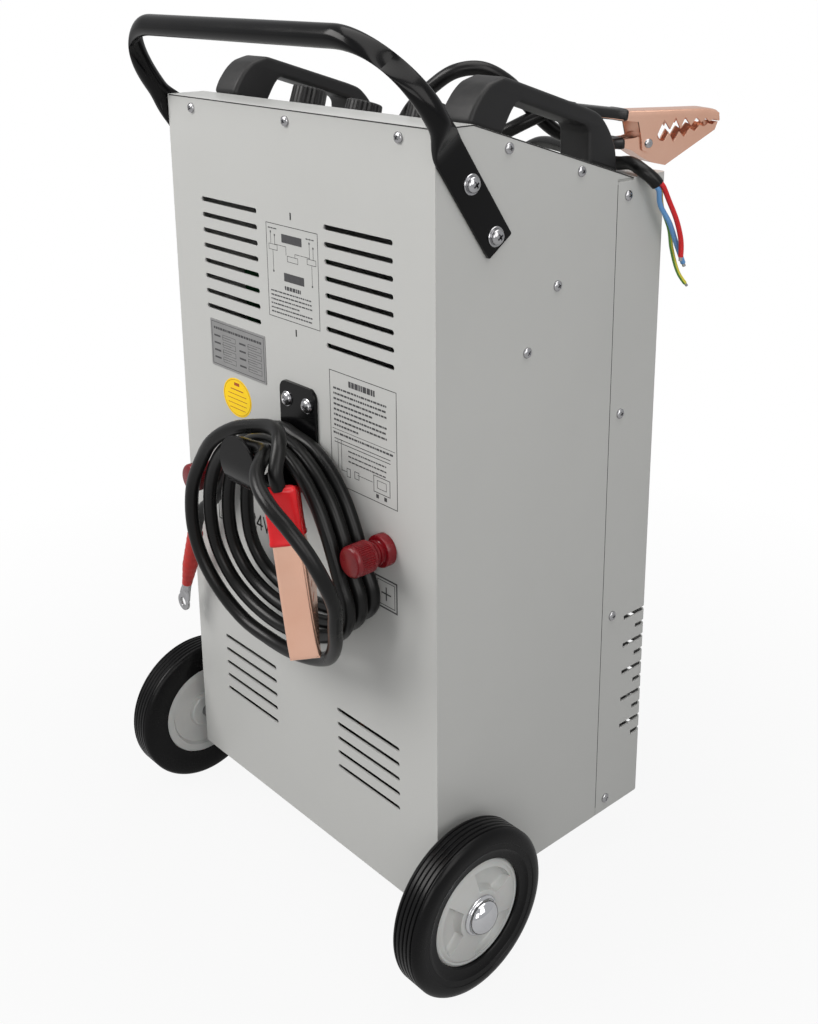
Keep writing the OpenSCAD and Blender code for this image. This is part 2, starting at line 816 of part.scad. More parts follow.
module circuit_board() {
    inset = 8;
    color([0.1, 0.4, 0.2]) translate(board_place - [post_h, 0, 0]) {
        cube(board_size);
        for (y = [inset, board_size[1] - inset], z = [inset, board_size[2] - inset])
            translate([0, y, z]) rotate([0, 90, 0]) cylinder(r = 3, h = post_h);
        for (y = [0.22, 0.55], z = [0.25, 0.625])
            translate([1 - relay_size[0], y * board_size[1], z * board_size[2]]) cube(relay_size);
    }
}

fan_x = -slot_x;
fan_z = lower_z - 26;

module fan_place() {
    translate([fan_x, -sheet, fan_z]) rotate([90, 0, 0]) children();
}

module fan_frame() {
    s = fan_size;
    color([0.15, 0.15, 0.15]) fan_place() difference() {
        union() {
            difference() {
                translate([-s / 2, -s / 2, 0]) cube([s, s, fan_t]);
                translate([0, 0, -eps]) cylinder(r = s / 2 - 3, h = fan_t + 2 * eps);
            }
            translate([0, 0, fan_t - 3]) cylinder(r = 16, h = 3);
            for (a = [45:90:315]) rotate([0, 0, a]) translate([14, -2, fan_t - 3])
                cube([s / 2 - 16, 4, 3]);
            translate([0, 0, 6.5]) cylinder(r = 2.5, h = fan_t - 8);
        }
        for (x = [-1, 1], y = [-1, 1]) translate([x * (s / 2 - 5), y * (s / 2 - 5), -eps])
            cylinder(r = 2.2, h = fan_t + 2 * eps);
    }
}

module fan_rotor() {
    r = fan_size / 2 - 5;
    color([0.2, 0.2, 0.2]) fan_place() translate([0, 0, 4]) {
        difference() {
            cylinder(r = 15, h = fan_t - 8);
            translate([0, 0, 2]) cylinder(r = 2.5 + run_clear, h = fan_t);
        }
        for (i = [0:6]) rotate([0, 0, 360 * i / 7]) translate([13, 0, 3]) rotate([35, 0, 0])
            cube([r - 14, 2, 15], center = false);
    }
}

// ---- lead routes, in cabinet coordinates
floor_z = -base_z;

// One open run through points, straight between them
function unit(v) = v / norm(v);
function turned(v, axis, a) = v * cos(a) + cross(axis, v) * sin(a) + axis * (axis * v) * (1 - cos(a));
function tangents(p) = let (n = len(p)) [for (i = [0:n - 1])
    unit(p[min(i + 1, n - 1)] - p[max(i - 1, 0)])];
// Side directions carried along the run without twist
function carry(t, i, v) = let (w = v - t[i] * (v * t[i])) unit(w);
function sides_along(t) = [for (i = 0, v = carry(t, 0, start_side(t[0])); i < len(t);
    i = i + 1, v = i < len(t) ? carry(t, i, v) : v) v];
function start_side(t) = abs(t[2]) < 0.9 ? cross(t, [0, 0, 1]) : cross(t, [1, 0, 0]);

module tube(points, d, n) {
    t = tangents(points);
    s = sides_along(t);
    rings = len(points);
    verts = [for (i = [0:rings - 1], k = [0:n - 1])
        points[i] + d / 2 * turned(s[i], t[i], 360 * k / n)];
    walls = [for (i = [0:rings - 2], k = [0:n - 1]) each [
        [i * n + k, (i + 1) * n + (k + 1) % n, (i + 1) * n + k],
        [i * n + k, i * n + (k + 1) % n, (i + 1) * n + (k + 1) % n]]];
    last = (rings - 1) * n;
    ends = [for (k = [1:n - 2]) each [[0, k + 1, k], [last, last + k, last + k + 1]]];
    polyhedron(points = verts, faces = [for (f = concat(walls, ends)) [f[2], f[1], f[0]]]);
}

// Smooth value at a place along a list
function smooth(a, b, c, d, t) = 0.5 * (2 * b + (c - a) * t + (2 * a - 5 * b + 4 * c - d) * t * t
    + (3 * b - a - 3 * c + d) * t * t * t);
function along(list, s) = let (n = len(list) - 1, i = min(floor(s), n - 1))
    smooth(list[max(i - 1, 0)], list[i], list[i + 1], list[min(i + 2, n)], s - i);
function around(list, s) = let (n = len(list), i = floor(s))
    smooth(list[(i + n - 1) % n], list[i % n], list[(i + 1) % n], list[(i + 2) % n], s - i);

// The coil on the hook: one outline [x, z] from its top clockwise, as seen from behind
hang_outline = [[-10, 355], [-42, 346.5], [-67.5, 324], [-82.5, 297.5], [-93.5, 268], [-100, 244],
    [-88, 219], [-56, 199], [-14, 187], [26, 193], [56, 211], [72, 236], [76, 262], [71, 294],
    [54, 324], [26, 347]];
// Distance of the hanging turns from the back panel, at each quarter turn
hang_depth = [9.5, 9, 6.2, 15, 21.3, 21, 16.8, 27, 33, 33, 27.4, 38.2, 47];
hang_turns = 3;
function hang_point(s) = let (
    p = around(hang_outline, (s % 1) * len(hang_outline)),
    narrow = 0.7 + 0.105 * (s - 0.75),
    lift = 30 - 8.5 * (s - 0.5),
    x = p[0] > -10 ? (p[0] + 10) * narrow - 10 : p[0],
    z = p[1] < 300 ? p[1] + lift * pow((300 - p[1]) / 113, 2) : p[1])
    [x, along(hang_depth, 4 * s), z];

// The stretch from the ring lug up to the coil
lug_run = [[117, 16.5, 254], [105, 15, 265], [94, 13, 278], [85, 11, 295], [72, 9.5, 318],
    [52, 9.5, 339], [24, 9.5, 352]];
// The outermost turn, from the coil to the positive clamp
clamp_run = [[-32, 51, 359], [-42.5, 62.5, 358.5], [-53, 74, 354.5], [-66, 80.5, 348], [-80, 82, 340],
    [-96, 79, 328], [-109, 73, 311.5], [-117, 66, 291], [-117, 57.5, 269], [-110, 52, 247], [-100, 45, 227],
    [-83, 38, 207], [-58, 34, 194], [-30, 34, 188], [0, 34, 187], [30, 37, 193], [57, 42, 212],
    [73, 47, 238], [78, 50, 266], [75, 50, 298], [59, 49.5, 327], [40.5, 50, 347.5], [16, 47, 363],
    [-9, 43.5, 371], [-27, 43, 375], [-41, 46, 375.5], [-51.5, 53, 369.5]];

// Piled coils on the floor: a spiral in on the lower layer and out on the upper one
layer_turns = 2;
pile_gap = 0.9;
function pile_point(c, d, s, start, way) = let (
    mid = 5 * d,
    pitch = d + pile_gap,
    r = mid + pitch * (abs(s - layer_turns) - layer_turns / 2),
    up = min(max((s - layer_turns + 0.25) / 0.5, 0), 1),
    z = floor_z + 0.2 + d / 2 + (d + pile_gap) * up * up * (3 - 2 * up),
    a = start + way * 360 * s)
    [c[0] + r * cos(a), c[1] + r * sin(a), z];

negative_turns = 3.5;
negative_centre = [32, -362];
mains_turns = 3.625;
mains_centre = [178, -362];
function negative_pile(s) = pile_point(negative_centre, lead_d, s, 0, -1);
function mains_pile(s) = pile_point(mains_centre, mains_d, s, 200, 1);

gland_x = [83, 130];
gland_neck_r = 9;
exit_y = -cabinet_d - gland_l;

negative_lower = [[83, exit_y, gland_z], [83, exit_y - 12, gland_z], [85, -304, 20],
    [92, -322, floor_z + 34], [98, -336, floor_z + 15]];
negative_upper = [[-30, -334, floor_z + 17], [-35, -312, floor_z + 18], [-39, -290, floor_z + 23],
    [-42, -266, 0], [-47, -251, 34], [-52, -247, 80], [-60, -246.5, 200], [-70, -246.5, 330], [-80, -246.5, 460],
    [-86, -247, 525], [-89, -246, 548], [-91, -234, 566], [-93, -215, 569], [-94, -200, 571],
    [-94, -185, 577], [-91, -165, 592], [-86, -142, 615], [-77, -122, 626], [-64, -108, 624],
    [-47, -100, 612], [-30, -97, 597], [-13, -104, 586], [5, -117, 580], [16, -136, 574],
    [14, -158, 567], [-4, -170, 563.5], [-30, -167.5, 565.5], [-56, -156.5, 570], [-75.5, -146.1, 576.3]];
mains_lower = [[130, exit_y, gland_z], [130, exit_y - 12, gland_z], [127, -303, 20],
    [120, -324, floor_z + 36], [114, -344, floor_z + 17], [112.5, -360, floor_z + 7]];
mains_upper = [[170, -294, floor_z + 17], [145, -285, floor_z + 15], [118, -276, floor_z + 10],
    [90, -266, floor_z + 10], [70, -257, floor_z + 26], [58, -249.5, 18], [55, -246, 80],
    [55, -246, 200], [54, -246, 330],
    [50, -246, 440], [38, -246, 494], [14, -247, 533], [-20, -244, 554], [-55, -234, 557],
    [-88, -223, 553.5], [-118, -217, 552.6], [-134, -213, 553.2], [-150, -209.4, 555.2],
    [-163, -206.5, 551.5], [-169.5, -211, 545.5], [-171.5, -214, 541.5]];

// A run that meets a coil starts or ends with a straight stretch square to the coil's end
function joined_start(p, d) = [p[0] - d * unit(p[1] - p[0]), p[0]];
function joined_end(p, d) = let (n = len(p) - 1) [p[n], p[n] + d * unit(p[n] - p[n - 1])];

hang_points = [for (i = [0:24 * hang_turns]) hang_point(i / 24)];
negative_points = [for (i = [0:24 * negative_turns]) negative_pile(i / 24)];
mains_points = [for (i = [0:24 * mains_turns]) mains_pile(i / 24)];

module positive_lead_coil() {
    echo(hanging_coil_gap = least_gap(hang_points, 12, lead_d));
    color(soft_black) tube(hang_points, lead_d, 6);
}

module positive_lead_ends() {
    color(soft_black) {
        tube(concat([boot_top, boot_top - lead_d * boot_way], lug_run,
            joined_start(hang_points, lead_d)), lead_d, 8);
        tube(concat(joined_end(hang_points, lead_d), clamp_run, positive_entry()), lead_d, 8);
    }
}

// Least gap between a coil's points that are more than half a turn apart
function least_gap(p, apart, d) = min([for (i = [0:len(p) - 1 - apart], j = [i + apart:len(p) - 1])
    norm(p[i] - p[j])]) - d;

module pile_tube(points, d) {
    echo(pile_coil_gap = least_gap(points, 12, d));
    color(soft_black) tube(points, d, 6);
}

module negative_lead_coil() { pile_tube(negative_points, lead_d); }
module mains_cord_coil() { pile_tube(mains_points, mains_d); }

module negative_lead_runs() {
    color(soft_black) {
        tube(concat(negative_lower, joined_start(negative_points, lead_d)), lead_d, 8);
        tube(concat(joined_end(negative_points, lead_d), negative_upper, negative_entry()), lead_d, 8);
    }
}

module mains_cord_runs() {
    color(soft_black) {
        tube(concat(mains_lower, joined_start(mains_points, mains_d)), mains_d, 8);
        tube(concat(joined_end(mains_points, mains_d), mains_upper), mains_d, 8);
    }
}

module mains_cores() {
    color([0.8, 0.1, 0.1]) tube(red_core, core_wire_d, 8);
    color([0.3, 0.5, 0.8]) tube(blue_core, core_wire_d, 8);
    color([0.6, 0.7, 0.1]) tube(earth_core, core_wire_d * 0.8, 8);
}

red_core = [[-173.6, -214.9, 542.5], [-174.7, -216.6, 540.3], [-175.5, -223.7, 528.4],
    [-178, -231.6, 511.5], [-178.5, -237.4, 494.2], [-178, -238.2, 478.7]];
blue_core = [[-171.7, -212.3, 539.7], [-172.8, -214, 537.5], [-171.2, -218.6, 525.9],
    [-173, -229.3, 509.8], [-173, -238.4, 493.3], [-173, -250.9, 472.2]];
earth_core = [[-169.7, -215.8, 541.3], [-170.8, -217.5, 539.1], [-168, -225.3, 522.6],
    [-168, -235.9, 503.1], [-168.5, -238.9, 488.8], [-170, -246.8, 468.4], [-172, -257.5, 455.2]];

// ---- ring lug and its boot
boot_turn = 160.7;
boot_l = 60;
eye_r = 4.2;
boot_top = [130, 17, 229];
boot_way = [sin(boot_turn), 0, cos(boot_turn)];

module lug_frame() {
    translate(boot_top) rotate([0, boot_turn, 0]) children();
}

module positive_lug_boot() {
    color([0.8, 0.2, 0.12]) lug_frame() rotate_extrude()
        polygon([[0, 0], [6.6, 0], [7, 3], [7, 40], [5.6, 52], [4.6, boot_l], [0, boot_l]]);
}

module positive_lug() {
    palm = 2.5;
    eye = 22;
    color(steel) lug_frame() translate([0, 0, boot_l]) {
        cylinder(r = 4.4, h = 10);
        translate([-7, -palm / 2, 9]) cube([14, palm, eye - eye_r - 1.2 - 9]);
        translate([0, 0, eye]) rotate([90, 0, 0]) translate([0, 0, -palm / 2]) ring(8, eye_r, palm);
    }
}

// ---- clamps: local x towards the tip, z up through the fixed jaw, the rivet at the origin
jaw_back = [[67.6, 13.6], [67, 22.5], [55, 24.5], [-23, 26.5], [-62, 32]];
jaw_back_in = [[-62, 30.5], [-23, 25], [55, 23], [65.6, 21.1], [66, 13.6]];
upper_teeth = [[62, 15.5], [58, 13.4], [54, 16.5], [50, 13.2], [45, 17.5], [40, 11.2], [34, 18.4],
    [30, 9.4], [25, 18.6], [20, 9.6], [14, 17.5], [8.6, 7]];
lower_teeth = [[8.6, 5], [12, 1], [16, 0.5], [20, 7.6], [25, -1.2], [30, 7.4], [35, 2.4],
    [40, 9.2], [45, 6.4], [50, 11.2], [54, 9.6], [58, 12], [62, 10.8], [66, 12.8]];
upper_cheek = concat(jaw_back, [[-62, 25.5], [-23, 18.6], [-10, 17], [-6.5, 3], [-5.5, -5],
    [0, -7.4], [5.5, -5], [8, 5]], [for (i = [len(upper_teeth) - 1:-1:0]) upper_teeth[i]]);
lower_back = [[67.6, 12.8], [65, 6.5], [18, -18.5], [5, -15.5], [-5.3, -10.5], [-14, -5],
    [-21, -2.5], [-54, -2.5]];
lower_back_in = [[-54, -1], [-20.6, -1], [-13.2, -3.5], [-4.6, -9], [5.2, -13.9], [17.6, -16.9],
    [64, 7.6], [66.2, 12.8]];
lower_cheek = concat(lower_back, [[-54, 4], [-21, 4], [-12, 4.5], [-6, 6], [0, 7.4], [6, 5.6]],
    lower_teeth);
nest = 0.4;
lower_w = jaw_w - 2 * jaw_t - 2 * nest;

module clamp_plate(width) {
    rotate([90, 0, 0]) linear_extrude(width, center = true) children();
}

module jaw(cheek, back, width) {
    difference() {
        union() {
            for (s = [-1, 1]) translate([0, s * (width - jaw_t) / 2, 0])
                clamp_plate(jaw_t) polygon(cheek);
            clamp_plate(width - 2 * touch) polygon(back);
        }
        rotate([90, 0, 0]) cylinder(r = rivet_d / 2 + run_clear, h = 2 * width, center = true);
    }
}

module jaw_fixed() { color(copper) jaw(upper_cheek, concat(jaw_back, jaw_back_in), jaw_w); }
module jaw_moving() { color(copper) jaw(lower_cheek, concat(lower_back, lower_back_in), lower_w); }

upper_lean = 8;
grip_start = 20.5;
upper_arm_z = 22.4;

// A closed sleeve over one arm, its inner pocket clear of the arm
module sleeve(length, width, height, pocket_h) {
    r = 3;
    difference() {
        translate([-length, 0, 0]) rotate([90, 0, 90]) linear_extrude(length) {
            square([width - 2 * r, height], center = true);
            square([width, height - 2 * r], center = true);
            for (x = [-1, 1], y = [-1, 1])
                translate([x * (width / 2 - r), y * (height / 2 - r)]) circle(r);
        }
        translate([-length + 1.5, -width / 2 + 1.2, -pocket_h / 2])
            cube([length, width - 2.4, pocket_h]);
    }
}

module grip_fixed() {
    translate([-grip_start, 0, upper_arm_z]) rotate([0, upper_lean, 0])
        sleeve(grip_l, jaw_w + 3, grip_h, 8.2);
}

module grip_moving() {
    translate([-grip_start - 1, 0, 0.8]) sleeve(grip_l - 8, lower_w + 3, grip_h - 0.6, 7.2);
}

module rivet() {
    h = jaw_w / 2;
    rotate([90, 0, 0]) {
        cylinder(d = rivet_d, h = 2 * h + 1, center = true);
        for (s = [0, 1]) mirror([0, 0, s]) translate([0, 0, h]) rotate_extrude()
            polygon([[0, 0], [3.8, 0], [3.4, 1], [2.2, 1.7], [0, 1.8]]);
    }
}

spring_curls = 5;
spring_wire = 1.4;
function spring_point(i) = let (r = rivet_d / 2 + 0.4 + spring_wire / 2)
    [r * cos(45 * i), -6 + 12 * i / (8 * spring_curls), r * sin(45 * i)];

module spring() {
    tube([for (i = [0:8 * spring_curls]) spring_point(i)], spring_wire, 6);
}

negative_pivot = [-126.1, -248.4, 565.5];
negative_turn = -106;
positive_pivot = [-52.3, 42, 275];
positive_yaw = 136.2;
positive_tilt = 7.4;
positive_drop = 80.5;

module negative_place() {
    translate(negative_pivot) rotate([0, 0, negative_turn]) children();
}

module positive_place() {
    translate(positive_pivot) rotate([0, 0, positive_yaw]) rotate([positive_tilt, 0, 0])
        rotate([0, positive_drop, 0]) children();
}

// The same placing as functions, for the points where the leads enter the grips
function spin_x(v, a) = [v[0], v[1] * cos(a) - v[2] * sin(a), v[1] * sin(a) + v[2] * cos(a)];
function spin_y(v, a) = [v[0] * cos(a) + v[2] * sin(a), v[1], v[2] * cos(a) - v[0] * sin(a)];
function spin_z(v, a) = [v[0] * cos(a) - v[1] * sin(a), v[0] * sin(a) + v[1] * cos(a), v[2]];
function entry_local(back) = [-grip_start, 0, upper_arm_z] + spin_y([-grip_l - back, 0, 0], upper_lean);
function positive_point(v) = positive_pivot
    + spin_z(spin_x(spin_y(v, positive_drop), positive_tilt), positive_yaw);
function negative_point(v) = negative_pivot + spin_z(v, negative_turn);
function positive_entry() = [positive_point(entry_local(lead_d)), positive_point(entry_local(touch))];
function negative_entry() = [negative_point(entry_local(lead_d)), negative_point(entry_local(touch))];

module positive_jaw_fixed() { positive_place() jaw_fixed(); }
module positive_jaw_moving() { positive_place() jaw_moving(); }
module positive_grip_fixed() { color(grip_red) positive_place() grip_fixed(); }
module positive_grip_moving() { color(grip_red) positive_place() grip_moving(); }
module negative_jaw_fixed() { negative_place() jaw_fixed(); }
module negative_jaw_moving() { negative_place() jaw_moving(); }
module negative_grip_fixed() { color(soft_black) negative_place() grip_fixed(); }
module negative_grip_moving() { color(soft_black) negative_place() grip_moving(); }

module clamp_rivets() {
    color(steel) {
        positive_place() rivet();
        negative_place() rivet();
    }
}

module clamp_springs() {
    color(steel) {
        positive_place() spring();
        negative_place() spring();
    }
}

// ---- cord glands on the front panel
module gland(cord_d) {
    rotate([90, 0, 0]) {
        translate([0, 0, -sheet - 5]) cylinder(r = 12, h = 5, $fn = 6);
        translate([0, 0, -sheet - touch]) cylinder(r = gland_neck_r, h = sheet + 2);
        cylinder(r = 12.5, h = 6, $fn = 6);
        translate([0, 0, 5]) rotate_extrude() polygon([[0, 0], [10, 0], [10, 6],
            [cord_d / 2 + 2.6, 9], [cord_d / 2 + 0.8, gland_l - 5], [0, gland_l - 5]]);
    }
}

module cord_glands() {
    color(soft_black) {
        translate([gland_x[0], -cabinet_d, gland_z]) gland(lead_d);
        translate([gland_x[1], -cabinet_d, gland_z]) gland(mains_d);
    }
}

placed() rear_cover();
placed() front_cover();
placed() top_panel();
placed() base_plate();
placed() push_handle();
placed() handle_bolts();
placed() carry_handle_left();
placed() carry_handle_right();
placed() cable_hook();
placed() hook_screws();
placed() cover_screws();
placed() axle();
placed() axle_brackets();
placed() wheel_hub_left();
placed() wheel_hub_right();
placed() tyre_left();
placed() tyre_right();
placed() axle_caps();
placed() front_feet();
placed() terminal_bases();
placed() terminal_studs();
placed() terminal_cap_left();
placed() terminal_cap_right();
placed() voltage_knob();
placed() current_knob();
placed() timer_knob();
placed() rotary_switches();
placed() switch_housing();
placed() switch_rocker();
placed() meter_case();
placed() meter_needle();
placed() meter_window();
placed() rating_plate();
placed() transformer_core();
placed() transformer_windings();
placed() rectifier_heatsink();
placed() rectifier_diodes();
placed() circuit_board();
placed() fan_frame();
placed() fan_rotor();
placed() positive_lug();
placed() positive_lug_boot();
placed() positive_lead_coil();
placed() positive_lead_ends();
placed() positive_jaw_fixed();
placed() positive_jaw_moving();
placed() positive_grip_fixed();
placed() positive_grip_moving();
placed() negative_jaw_fixed();
placed() negative_jaw_moving();
placed() negative_grip_fixed();
placed() negative_grip_moving();
placed() clamp_rivets();
placed() clamp_springs();
placed() cord_glands();
placed() negative_lead_coil();
placed() negative_lead_runs();
placed() mains_cord_coil();
placed() mains_cord_runs();
placed() mains_cores();
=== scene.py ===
"""Looks of the wheeled battery charger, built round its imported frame. Lengths are millimetres in cabinet
coordinates: the back panel at y = 0, the front towards -y and the cabinet's floor at z = 0."""

import math
import random

import bmesh
import bpy
from mathutils import Matrix, Vector


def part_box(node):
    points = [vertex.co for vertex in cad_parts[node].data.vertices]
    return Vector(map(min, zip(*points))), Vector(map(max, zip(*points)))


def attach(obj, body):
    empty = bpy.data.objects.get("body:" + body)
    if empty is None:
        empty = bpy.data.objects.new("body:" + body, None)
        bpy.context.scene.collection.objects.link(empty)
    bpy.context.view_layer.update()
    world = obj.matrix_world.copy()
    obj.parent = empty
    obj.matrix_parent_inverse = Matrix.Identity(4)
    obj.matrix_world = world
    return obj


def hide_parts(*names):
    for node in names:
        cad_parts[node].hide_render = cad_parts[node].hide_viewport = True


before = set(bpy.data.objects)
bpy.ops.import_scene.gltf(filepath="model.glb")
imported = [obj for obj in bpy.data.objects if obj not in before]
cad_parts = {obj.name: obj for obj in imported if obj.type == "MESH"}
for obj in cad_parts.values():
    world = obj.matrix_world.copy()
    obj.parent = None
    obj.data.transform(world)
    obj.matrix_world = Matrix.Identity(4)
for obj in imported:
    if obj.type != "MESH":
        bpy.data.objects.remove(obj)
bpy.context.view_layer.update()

MM = 0.001
COVER_LOW, COVER_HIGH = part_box("rear_cover")
ORIGIN = Vector((0.0, COVER_HIGH.y, COVER_LOW.z))
WIDTH = (COVER_HIGH.x - COVER_LOW.x) / MM
HEIGHT = (COVER_HIGH.z - COVER_LOW.z) / MM
DEPTH = (COVER_HIGH.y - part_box("front_cover")[0].y) / MM
FLOOR = -COVER_LOW.z / MM
STRIP = 34  # the flat strip of the top panel, front to back
SLOPE = math.radians(17.7)
LEDGE = 40  # from the foot of the slope to the front panel
SIDE = WIDTH / 2


def at(x, y, z):
    """A point in cabinet millimetres, as a point of the frame."""
    return ORIGIN + Vector((x, y, z)) * MM


def placed(x, y, z, tilt=Matrix()):
    """The matrix that carries millimetres round a local origin into the frame."""
    return Matrix.Translation(at(x, y, z)) @ tilt @ Matrix.Scale(MM, 4)


def turn(angle, axis):
    return Matrix.Rotation(math.radians(angle), 4, axis)


def shifted(x, y, z):
    return Matrix.Translation((x, y, z))


def on_slope(x, a):
    """A frame on the control panel: local z is its normal, local y points up the slope."""
    base = turn(math.degrees(SLOPE), "X")
    corner = Vector((x, -STRIP, HEIGHT)) + base @ Vector((0, -a, 0))
    return placed(*corner, base)


SIDES = ((1, "left"), (-1, "right"))
BACK = turn(-90, "X")
LEFT = turn(90, "Y")
RIGHT = turn(-90, "Y")

# ---------------------------------------------------------------- camera

CAMERA_PLACE = (-754.4, 544.6, 701.0)
CAMERA_AZIMUTH = 227.82
CAMERA_ELEVATION = 16.37
CAMERA_ROLL = -0.3
CAMERA_LENS = 44.75
PICTURE_WIDTH, PICTURE_HEIGHT = 818, 1024
VIEW_MIDDLE = (429, 336)


def make_camera():
    azimuth, elevation = math.radians(CAMERA_AZIMUTH), math.radians(CAMERA_ELEVATION)
    back = Vector((math.sin(azimuth) * math.cos(elevation),
                   -math.cos(azimuth) * math.cos(elevation), math.sin(elevation)))
    right = Vector((math.cos(azimuth), math.sin(azimuth), 0))
    up = back.cross(right)
    facing = Matrix((right, up, back)).transposed()
    data = bpy.data.cameras.new("camera")
    data.lens = CAMERA_LENS
    data.sensor_width = 36
    data.shift_x = (PICTURE_WIDTH / 2 - VIEW_MIDDLE[0]) / PICTURE_HEIGHT
    data.shift_y = (VIEW_MIDDLE[1] - PICTURE_HEIGHT / 2) / PICTURE_HEIGHT
    data.clip_start = 0.01
    camera = bpy.data.objects.new("camera", data)
    roll = Matrix.Rotation(math.radians(CAMERA_ROLL), 3, "Z")
    camera.matrix_world = Matrix.Translation(at(*CAMERA_PLACE)) @ (facing @ roll).to_4x4()
    bpy.context.scene.collection.objects.link(camera)
    bpy.context.scene.camera = camera


make_camera()
bpy.context.scene.view_settings.view_transform = "Standard"

# ---------------------------------------------------------------- shader effects


def srgb(r, g, b):
    """A colour given as it shows on screen, 0 to 255, as linear values."""
    parts = [c / 255 for c in (r, g, b)]
    return (*(c / 12.92 if c <= 0.04045 else ((c + 0.055) / 1.055) ** 2.4 for c in parts), 1)


def new_group(name, inputs, outputs):
    """An empty node group. inputs is {name: (kind, default)}, outputs is {name: kind}."""
    group = bpy.data.node_groups.new(name, "ShaderNodeTree")
    for label, (kind, default) in inputs.items():
        socket = group.interface.new_socket(label, in_out="INPUT", socket_type="NodeSocket" + kind)
        socket.default_value = default
    for label, kind in outputs.items():
        group.interface.new_socket(label, in_out="OUTPUT", socket_type="NodeSocket" + kind)
    return group, group.nodes.new("NodeGroupInput").outputs, group.nodes.new("NodeGroupOutput").inputs


def feed(tree, value, socket):
    """Links a node's output to a socket, or sets the socket to a plain number or colour."""
    if isinstance(value, bpy.types.NodeSocket):
        tree.links.new(value, socket)
    else:
        socket.default_value = value


def add_node(tree, kind, **values):
    """A node of a kind, and what its inputs get. An underscore in an input's name is a space."""
    node = tree.nodes.new("ShaderNode" + kind)
    for label, value in values.items():
        feed(tree, value, node.inputs[label.replace("_", " ")])
    return node


def noise(tree, place, scale, detail, roughness=0.55):
    node = add_node(tree, "TexNoise", Vector=place, Scale=scale, Detail=detail, Roughness=roughness)
    return node.outputs["Fac"]


def remap(tree, value, low, high, to_low=0.0, to_high=1.0):
    node = add_node(tree, "MapRange", Value=value, From_Min=low, From_Max=high, To_Min=to_low, To_Max=to_high)
    return node.outputs["Result"]


def maths(tree, operation, first, second):
    node = tree.nodes.new("ShaderNodeMath")
    node.operation = operation
    for socket, value in zip(node.inputs, (first, second)):
        feed(tree, value, socket)
    return node.outputs["Value"]


def mixed(tree, mask, first, second):
    """The first colour, which gives way to the second as the mask goes to 1."""
    mix = tree.nodes.new("ShaderNodeMix")
    mix.data_type = "RGBA"
    for label, value in (("Factor", mask), ("A", first), ("B", second)):
        feed(tree, value, mix.inputs[label])
    return mix.outputs["Result"]


def object_place(tree):
    return add_node(tree, "TexCoord").outputs["Object"]


def grain_group():
    """Fine relief, such as powder coat, leather-like moulding or cast skin."""
    group, inside, out = new_group("fine_relief", {"Scale": ("Float", 900), "Coarse": ("Float", 0.25)},
                                   {"Height": "Float"})
    place = object_place(group)
    fine = noise(group, place, inside["Scale"], 3)
    coarse = noise(group, place, maths(group, "MULTIPLY", inside["Scale"], 0.12), 2)
    lumps = maths(group, "MULTIPLY", coarse, inside["Coarse"])
    group.links.new(maths(group, "ADD", fine, lumps), out["Height"])
    return group


def tone_group():
    """A colour that drifts softly towards a second one."""
    group, inside, out = new_group(
        "uneven_tone",
        {"Colour": ("Color", (0.5, 0.5, 0.5, 1)), "Second": ("Color", (0.4, 0.4, 0.4, 1)),
         "Scale": ("Float", 20), "Amount": ("Float", 0.5)},
        {"Colour": "Color"})
    clouds = noise(group, object_place(group), inside["Scale"], 5, 0.6)
    mask = maths(group, "MULTIPLY", remap(group, clouds, 0.35, 0.7), inside["Amount"])
    group.links.new(mixed(group, mask, inside["Colour"], inside["Second"]), out["Colour"])
    return group


def scuff_group():
    """Thin random rub marks and a slow drift, both as roughness."""
    group, inside, out = new_group(
        "rub_marks",
        {"Scale": ("Float", 60), "Amount": ("Float", 0.3), "Roughness": ("Float", 0.4),
         "Spread": ("Float", 0.1)},
        {"Roughness": "Float"})
    place = object_place(group)
    stretch = add_node(group, "Mapping", Vector=place, Scale=(1, 0.16, 1), Rotation=(0.5, 0.3, 0.9))
    streaks = noise(group, stretch.outputs["Vector"], inside["Scale"], 6, 0.7)
    mask = maths(group, "MULTIPLY", remap(group, streaks, 0.62, 0.72), inside["Amount"])
    clouds = noise(group, place, maths(group, "MULTIPLY", inside["Scale"], 0.25), 4)
    drift = maths(group, "MULTIPLY", remap(group, clouds, 0.3, 0.7, -0.5, 0.5), inside["Spread"])
    rough = maths(group, "ADD", inside["Roughness"], drift)
    group.links.new(maths(group, "ADD", rough, maths(group, "MULTIPLY", mask, 0.25)), out["Roughness"])
    return group


def dust_group():
    """Dust that settles on what faces up, as a mask."""
    group, inside, out = new_group("settled_dust", {"Scale": ("Float", 120), "Amount": ("Float", 0.3)},
                                   {"Mask": "Float"})
    split = add_node(group, "SeparateXYZ", Vector=add_node(group, "NewGeometry").outputs["Normal"])
    specks = noise(group, object_place(group), inside["Scale"], 6, 0.75)
    patchy = maths(group, "MULTIPLY", remap(group, split.outputs["Z"], 0.2, 1.0),
                   remap(group, specks, 0.4, 0.75))
    group.links.new(maths(group, "MULTIPLY", patchy, inside["Amount"]), out["Mask"])
    return group


GRAIN, TONE, SCUFFS, DUST = grain_group(), tone_group(), scuff_group(), dust_group()
DUST_COLOUR = srgb(176, 172, 162)


def use_group(tree, group, **values):
    """The output of a shared effect with these settings."""
    node = tree.nodes.new("ShaderNodeGroup")
    node.node_tree = group
    for label, value in values.items():
        node.inputs[label].default_value = value
    return node.outputs[0]


